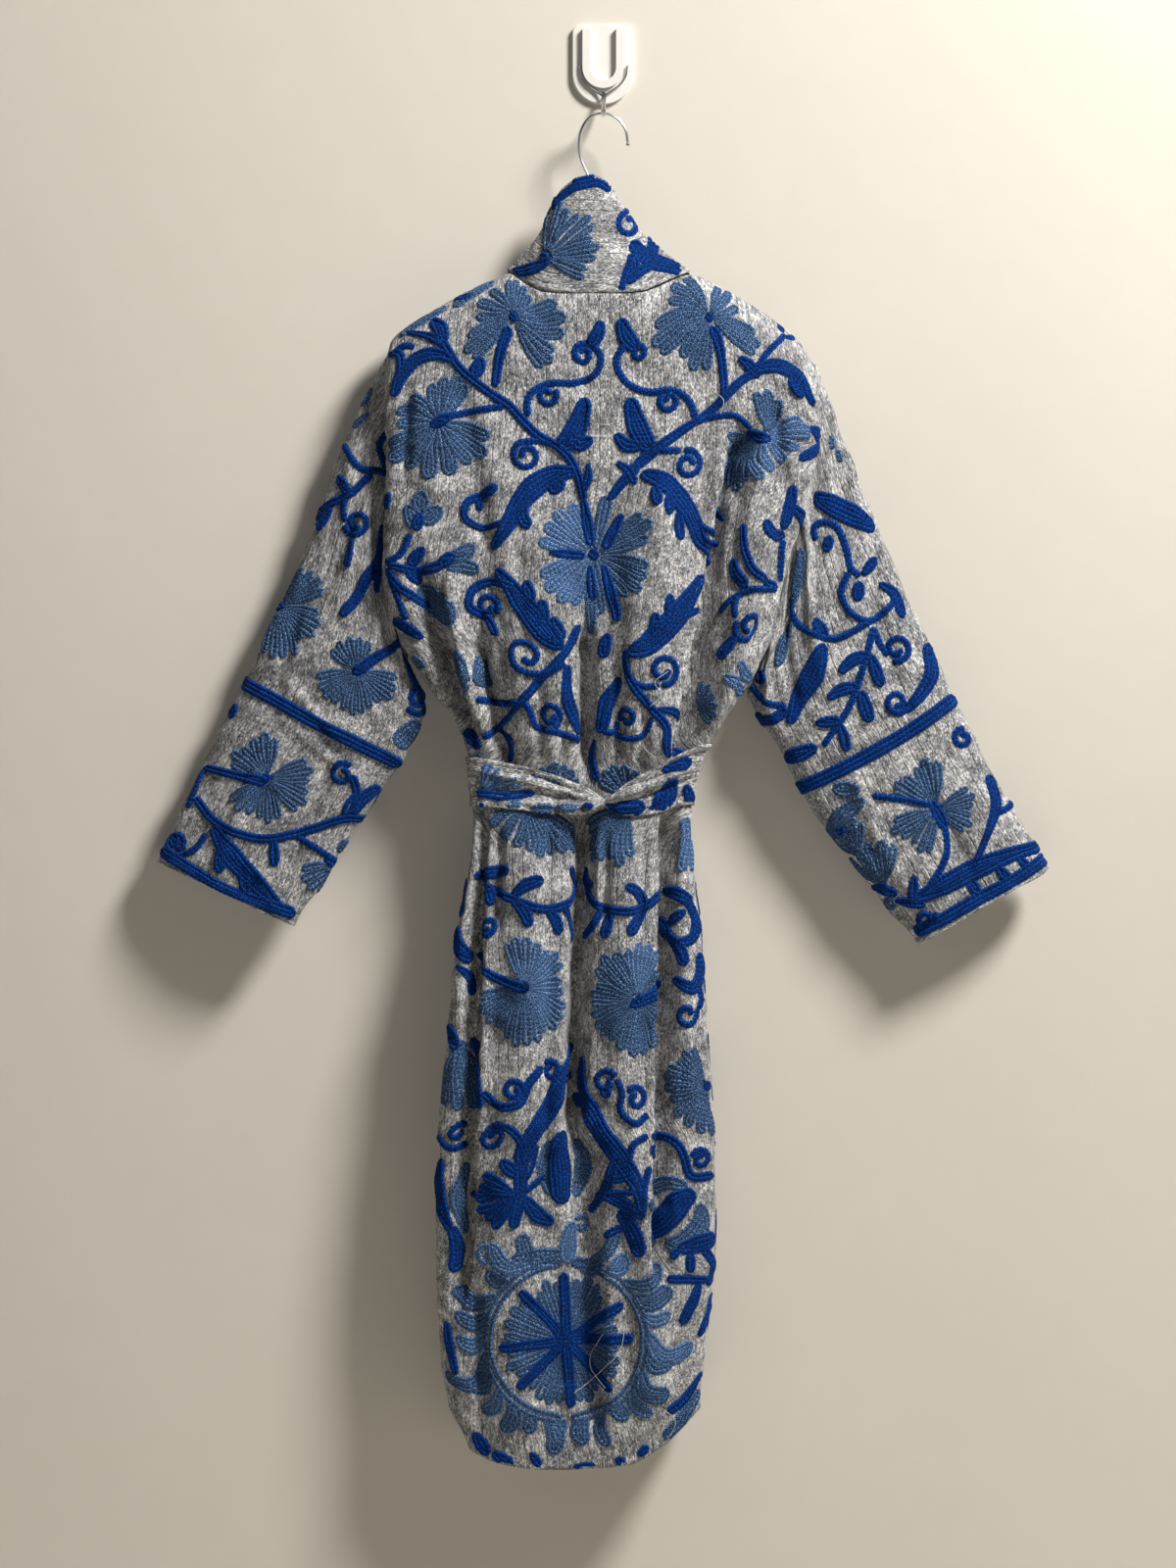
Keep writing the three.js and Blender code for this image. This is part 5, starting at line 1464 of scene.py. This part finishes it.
rightSleeveSewing["royal"]["vines"] = [
    ((15, 24, 24, 14), (218, -450), (240, -460), (262, -470), (278, -481)),
    (8, (218, -494), (216, -482), (228, -475), (242, -483), (250, -504), (254, -522), (264, -530)),
    (8, (252, -526), (244, -546), (252, -566), (272, -576), (290, -565), (303, -550)),
    (8, (192, -554), (200, -580), (236, -594), (274, -577)),
    ((12, 24, 18, 9), (226, -600), (215, -630), (201, -655), (192, -681)),
    (8, (152, -643), (168, -661), (188, -663)), (12, (153, -676), (172, -678), (189, -666)),
    (8, (277, -582), (268, -618), (252, -664), (226, -704)), (8, (277, -583), (284, -600), (292, -612)),
    ((12, 16, 13, 9), (333, -599), (337, -630), (324, -653), (310, -668)),
    (14, (198, -749), (236, -732), (274, -712), (318, -686), (361, -655)),
    (8, (338, -765), (307, -759), (276, -755)), (8, (350, -785), (352, -814), (327, -859)),
    ((13, 12, 8, 7), (396, -734), (403, -762), (396, -788), (380, -827)),
    (8, (405, -772), (414, -768), (423, -760)),
    ((9, 20, 21, 15, 11), (314, -864), (352, -845), (386, -828), (419, -815), (448, -807)),
    (14, (321, -895), (349, -881), (385, -861), (421, -841), (454, -819)),
]
rightSleeveSewing["royal"]["leaves"] = [
    (226, -502, 235, -493, 16), (264, -536, 259, -555, 14), (266, -529, 280, -512, 11),
    (283, -538, 308, -572, 12, -0.2), (216, -575, 229, -593, 15), (160, -629, 165, -639, 14),
    (219, -705, 188, -717, 16), (242, -629, 271, -611, 13, -0.1), (274, -611, 285, -643, 13),
    (230, -655, 261, -644, 13, -0.1), (264, -648, 273, -679, 15), (218, -681, 243, -678, 12),
    (243, -681, 250, -709, 11), (336, -760, 351, -788, 14), (300, -862, 330, -866, 11),
    (373, -839, 384, -855, 13), (403, -828, 416, -841, 12), (424, -817, 438, -830, 10),
    (319, -836, 317, -864, 11), (276, -848, 302, -855, 11),
]
rightSleeveSewing["royal"]["curls"] = [
    (301, -604, 14, -110, 1.3), (301, -659, 12, -30, -1.3), (369, -696, 10, 80, 1.2),
    (331, -881, 11, 40, -1.2),
]
rightSleeveSewing["steel"]["vines"] = [
    ((14, 22, 20, 12), (202, -503), (200, -530), (192, -564)),
    ((12, 20, 12), (192, -574), (186, -600), (180, -622)),
]
rightSleeveSewing["steel"]["leaves"] = [
    (233, -386, 237, -399, 11), (240, -401, 245, -412, 10), (263, -749, 236, -748, 17),
    (267, -759, 243, -775, 17), (289, -861, 299, -870, 15),
]
rightSleeveSewing["steel"]["flowers"] = [
    (342, -768, (84, 124, 53, 3), (128, 168, 52, 3), (-46, -4, 42, 3), (0, 40, 42, 3), (190, 226, 52, 3),
     (230, 264, 50, 3)), (262, -818, (78, 154, 40, 5)), (288, -848, (70, 150, 50, 5)),
    (226, -800, (10, 70, 42, 4)),
]
collarSewing = {"royal": {}, "steel": {}}
collarSewing["royal"]["vines"] = [
    (13, (-52, -154), (-44, -142), (-32, -132), (-16, -126), (-2, -126), (8, -134)),
    ((15, 22, 18, 10), (30, -190), (50, -206), (70, -212), (92, -220)),
    (8, (19, -238), (24, -220), (31, -202)), (10, (24, -230), (38, -219), (56, -207)),
]
collarSewing["royal"]["leaves"] = [
    (-54, -206, -96, -217, 14), (33, -224, 30, -202, 13), (50, -208, 52, -182, 14),
]
collarSewing["royal"]["curls"] = [(28, -171, 15, -20, 1.4)]
collarSewing["steel"]["flowers"] = [
    (-60, -204, (-34, -10, 50, 2), (-7, 26, 58, 3), (29, 56, 64, 3), (59, 90, 62, 3)),
]
beltSewing = {"royal": {}, "sky": {}}
beltSewing["royal"]["vines"] = [
    (9, (-128, -752), (-100, -756), (-70, -752)), (8, (-20, -764), (-10, -767), (0, -768)),
]
beltSewing["royal"]["leaves"] = [
    (-20, -745, 6, -752, 11), (2, -757, 42, -767, 19), (72, -738, 54, -776, 24, 0.1),
    (84, -744, 88, -770, 12, 0.1), (62, -728, 90, -722, 15), (36, -776, 84, -777, 8),
    (-134, -768, -112, -771, 12),
]
beltSewing["sky"]["leaves"] = [
    (-100, -768, -82, -768, 10), (-74, -768, -50, -767, 10), (-47, -767, -26, -766, 10),
]
beltSewing["sky"]["flowers"] = [(-124, -750, (-14, 28, 46, 4), (32, 80, 34, 4))]


robeCloth = clothMaterial("robe cloth")
# painted light: the belt's cloth is the robe's cloth painted 6% brighter, as if lit more
paintedBrighterBeltCloth = clothMaterial("belt cloth painted brighter", 1.06)
# each cloth piece with the node it replaces and how it is held
robePieces = {
    "back": (backPanel(robeCloth), "back_panel", "hung"),
    "front_left": (frontPanel(-1, robeCloth), "front_left", "hung"),
    "front_right": (frontPanel(1, robeCloth), "front_right", "hung"),
    "band_left": (frontBand(-1, robeCloth), "band_left", "hung"),
    "band_right": (frontBand(1, robeCloth), "band_right", "hung"),
    "collar": (collar(robeCloth), "collar", "hung"),
    "sleeve_left": (sleeve(-1, robeCloth), "sleeve_left", "hung"),
    "sleeve_right": (sleeve(1, robeCloth), "sleeve_right", "hung"),
    "belt": (belt(paintedBrighterBeltCloth), "belt", "gathered"),
    "tail_left": (beltTail(-1, paintedBrighterBeltCloth), "belt_tail_left", "hung"),
    "tail_right": (beltTail(1, paintedBrighterBeltCloth), "belt_tail_right", "hung"),
}
knot = beltKnot(paintedBrighterBeltCloth)
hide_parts("belt_knot")
for piece, replaced, _ in robePieces.values():
    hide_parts(replaced)
print("cloth laid")


def reflected(place, mirror):
    return (mirror - place[0], *place[1:]) if mirror is not None else place


sewReach = {"beside": 6, "flower": 40}


# sews one table of motifs on a panel; mirror is where x turns over for the front
def sew(name, sewing, facing, mirror=None):
    x = panels[name]["grid"][..., 0]
    low, high = x.min() - sewReach["beside"], x.max() + sewReach["beside"]
    for tint, motifs in sewing.items():
        for widths, *places in motifs.get("vines", []):
            places = [reflected(place, mirror) for place in places]
            if min(x for x, z in places) < high and max(x for x, z in places) > low:
                vine(name, tint, widths, places, facing)
        for x, z, toX, toZ, width, *bends in motifs.get("leaves", []):
            bend = sum(bends)  # none where its row gives no bend
            if mirror is not None:
                x, toX, bend = mirror - x, mirror - toX, -bend
            if min(x, toX) < high and max(x, toX) > low:
                leaf(name, tint, x, z, toX, toZ, width, bend, facing)
        for x, z, radius, start, turns in motifs.get("curls", []):
            if mirror is not None:
                x, start, turns = mirror - x, 180 - start, -turns
            if x - radius < high and x + radius > low:
                curl(name, tint, x, z, radius, start, turns, facing)
        for x, z, *lobes in motifs.get("flowers", []):
            if mirror is not None:
                x = mirror - x
                lobes = [(180 - end, 180 - start, length, count) for start, end, length, count in lobes]
            if x - sewReach["flower"] < high and x + sewReach["flower"] > low:
                flower(name, tint, x, z, lobes, facing)


# wheel at the hem: spokes over its petals, a band, leaves round it and a finial on top
def sewWheel(name, facing, mirror=None):
    flip = 1 if mirror is None else -1
    cx = wheel["x"] if mirror is None else mirror - wheel["x"]

    def at(angle, out):
        turn, reach = math.radians(angle), wheel["radius"] + out
        return cx + flip * reach * math.cos(turn), wheel["z"] + reach * math.sin(turn)
    for angle in wheelSpokes["angles"]:
        spoke = [at(angle, reach - wheel["radius"]) for reach in wheelSpokes["reach"]]
        vine(name, "royal", wheelSpokes["widths"], spoke, facing)
    for start in wheelBand["starts"]:
        steps = np.linspace(0, wheelBand["turn"], wheelBand["places"])
        line = [at(start + step, wheelBand["out"]) for step in steps]
        vine(name, "steel", wheelBand["width"], line, facing)
    size, rhythm = wheelLeaves, wheelLeaves["rhythm"]
    for i in range(size["count"]):
        angle = size["start"] + size["turn"] * (i + 0.5) / size["count"]
        way = 1 if angle < size["foot"] else -1
        # uneven lengths, widths and tints, and shorter leaves at the foot
        length = size["reach"] * (1.0 + size["uneven"] * math.sin(i * rhythm["length"]))
        if abs(angle % 360 - size["foot"]) < size["footReach"]:
            length = length * size["footShare"]
        width = size["width"] + size["unevenWidth"] * math.sin(i * rhythm["width"])
        tint = "sky" if math.sin(i * rhythm["tint"]) > 0.5 else "steel"
        lean = size["lean"] * length * way * size["leanShare"]
        foot, tip = at(angle, size["out"]), at(angle + lean, size["tipOut"] + length)
        leaf(name, tint, *foot, *tip, width, size["bend"] * flip * way, facing)
    top = wheel["z"] + wheel["radius"]
    for tint, widths, places in finialStems:
        vine(name, tint, widths, [(cx + flip * x, top + z) for x, z in places], facing)
    for x, z, radius, start, turns in finialCurls:
        start = start if flip > 0 else 180 - start
        curl(name, "sky", cx + flip * x, top + z, radius, start, turns * flip, facing)


# the back, then the fronts, which carry the back's motifs turned over about this x
mirrorAt = -36
sew("back", backSewing, -1)
sewWheel("back", -1)
for name in plainPanels:
    sew(name, backSewing, 1, mirrorAt)
    sewWheel(name, 1, mirrorAt)
for name, sewing in (("sleeve_left", leftSleeveSewing), ("sleeve_right", rightSleeveSewing)):
    for facing in (-1, 1):
        sew(name, sewing, facing)
sew("collar", collarSewing, -1)
# past its half-twist the belt shows its other face
turned = panels["belt"]
panels["belt_reverse"] = {
    **{key: turned[key] for key in ("levels", "ends", "flat", "tube")},
    "normals": -turned["normals"],
    "grid": turned["grid"] - turned["normals"] * beltSizes["cloth"],
}
for name in ("belt", "belt_reverse"):
    sew(name, beltSewing, -1)

yarnCloth = {name: yarnMaterial(f"{name} yarn", tones) for name, tones in yarnTones.items()}
sewn = {}
for (name, tint), store in stitches.items():
    if not store["points"]:
        continue
    wearer = name.removesuffix("_reverse")
    label = f"{robePieces[wearer][0].name}_{tint}_yarn" + ("_reverse" if wearer != name else "")
    mesh = fillMesh(label, np.concatenate(store["points"]), np.concatenate(store["faces"]),
                    np.concatenate(store["uv"]))
    piece = linkObject(label, mesh, yarnCloth[tint])
    sewn.setdefault(wearer, []).append(piece)
    print(label, 2 * sum(len(f) for f in store["faces"]), "triangles")

# short ends of thread left loose on the face: places from, over and to
looseThreads = [
    [(-62, -474), (-49, -466), (-40, -476)], [(66, -628), (52, -640), (58, -652), (48, -664)],
    [(22, -742), (34, -760), (30, -778)], [(40, -700), (50, -716), (46, -732)],
    [(-30, -1362), (8, -1330), (20, -1300), (14, -1290)], [(2, -1300), (-12, -1330), (4, -1356)],
    [(60, -1378), (72, -1392), (66, -1408)], [(112, -340), (124, -352), (120, -366)],
]
threadSizes = {"radius": 0.26, "sides": 6, "step": 2.0, "low": 2.4, "rise": 2.2}


# a thread that rises off the cloth between its ends
def looseThread(name, label, places, material):
    line = curveThrough([flatPlace(name, *place)[0] for place in places], threadSizes["step"])[0]
    middle, normal, _ = sampleCloth(panels[name], line)
    off = threadSizes["low"] + threadSizes["rise"] * np.sin(np.linspace(0.3, 2.9, len(line)))
    middle = middle + normal * off[:, None]
    side = np.cross(normal, np.gradient(middle, axis=0))
    side /= np.linalg.norm(side, axis=1, keepdims=True)
    angle = np.linspace(0, 2 * math.pi, threadSizes["sides"], endpoint=False)[None, :, None]
    ring = (middle[:, None] + threadSizes["radius"] * (np.cos(angle) * side[:, None]
                                                       + np.sin(angle) * normal[:, None]))
    faces = gridFaces(*ring.shape[:2], tube=True)
    piece = linkObject(label, fillMesh(label, ring.reshape(-1, 3), faces), material)
    return piece


threadCloth = plainMaterial("loose thread", tone(206, 204, 198), 0.8)
for i, places in enumerate(looseThreads):
    sewn["back"].append(looseThread("back", f"loose_thread_{i + 1}", places, threadCloth))
print("embroidery sewn")

wood = plainMaterial("hanger wood", tone(176, 138, 96), 0.5, mottle=0.25)
wire = plainMaterial("bright wire", (0.62, 0.62, 0.63, 1), 0.22, metallic=1.0)
whitePlastic = plainMaterial("white plastic", tone(226, 222, 215), 0.3)
hangerParts = {
    "hanger_bar": (wood, "hanger_wood"), "hanger_hook": (wire, "hook_wire"),
    "wall_hook": (wire, "hook_wire"), "wall_plate": (whitePlastic, "wall_plate"),
}
for name, (material, slotName) in hangerParts.items():
    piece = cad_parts[name]
    piece.data.materials.clear()
    piece.data.materials.append(material)

# pale plaster wall, seen through from behind so that the back views are open, and a floor
room = {"reach": 6.0, "wallTop": 3, "wallFace": 0.0005, "floor": -1.95, "floorReach": 4.0}


def stagePiece(name, corners, material):
    mesh = bpy.data.meshes.new(name)
    mesh.from_pydata(corners, [], [(0, 1, 2, 3)])
    piece = linkObject(name, mesh, material, body=None)
    return piece


def wallMaterial():
    material, tree, shader = newMaterial("wall plaster", 0.9)
    place = node(tree, "ShaderNodeTexCoord").outputs["Object"]
    broad, small = noise(tree, place, 1.6, 3.0), noise(tree, place, 26.0, 5.0)
    colour = blendColour(tree, broad, tone(206, 199, 186), tone(216, 210, 199))
    colour = blendColour(tree, times(tree, small, 0.25), colour, tone(198, 190, 176))
    surface(tree, shader, colour, small, 0.12, 0.002)
    clear = tree.nodes.new("ShaderNodeBsdfTransparent")
    behind = node(tree, "ShaderNodeNewGeometry").outputs["Backfacing"]
    both = node(tree, "ShaderNodeMixShader", {0: behind, 1: shader.outputs[0], 2: clear.outputs[0]})
    tree.links.new(both.outputs[0], tree.nodes["Material Output"].inputs["Surface"])
    return material


reach, face, floor = room["reach"], room["wallFace"], room["floor"]
wallCorners = [(-reach, face, floor), (reach, face, floor), (reach, face, room["wallTop"]),
               (-reach, face, room["wallTop"])]
floorCorners = [(-reach, -room["floorReach"], floor), (reach, -room["floorReach"], floor),
                (reach, face, floor), (-reach, face, floor)]
wall = stagePiece("wall", wallCorners, wallMaterial())
wall.visible_shadow = False
stagePiece("floor", floorCorners, plainMaterial("floor", tone(200, 196, 188), 0.8))


def areaLight(name, place, aim, size, power, colour=(1, 1, 1)):
    light = bpy.data.lights.new(name, "AREA")
    light.shape, light.size, light.energy, light.color = "DISK", size, power, colour
    holder = bpy.data.objects.new(name, light)
    holder.location = place
    holder.rotation_euler = (Vector(aim) - Vector(place)).to_track_quat("-Z", "Y").to_euler()
    bpy.context.scene.collection.objects.link(holder)


areaLight("key", (1.9, -1.6, 1.9), (0, 0, -0.75), 0.9, 217, (1.0, 0.988, 0.97))
areaLight("fill", (-2.6, -3.0, 0.2), (0, 0, -0.8), 2.4, 4, (0.94, 0.97, 1.0))
areaLight("behind", (0.3, 2.6, 0.4), (0, 0, -0.8), 2.0, 40)
world = bpy.data.worlds.new("studio")
world.use_nodes = True
glow = world.node_tree.nodes["Background"]
glow.inputs["Color"].default_value = (0.93, 0.96, 1.0, 1)
glow.inputs["Strength"].default_value = 0.07
bpy.context.scene.world = world
bpy.context.scene.view_settings.view_transform = "Standard"

camera = bpy.data.cameras.new("camera")
camera.lens, camera.sensor_width, camera.sensor_fit = 133.4, 36, "AUTO"
viewer = bpy.data.objects.new("camera", camera)
viewer.location = (-0.015, -6.0, -0.743)
viewer.rotation_euler = (math.pi / 2, 0, 0)
bpy.context.scene.collection.objects.link(viewer)
bpy.context.scene.camera = viewer
print("stage set")

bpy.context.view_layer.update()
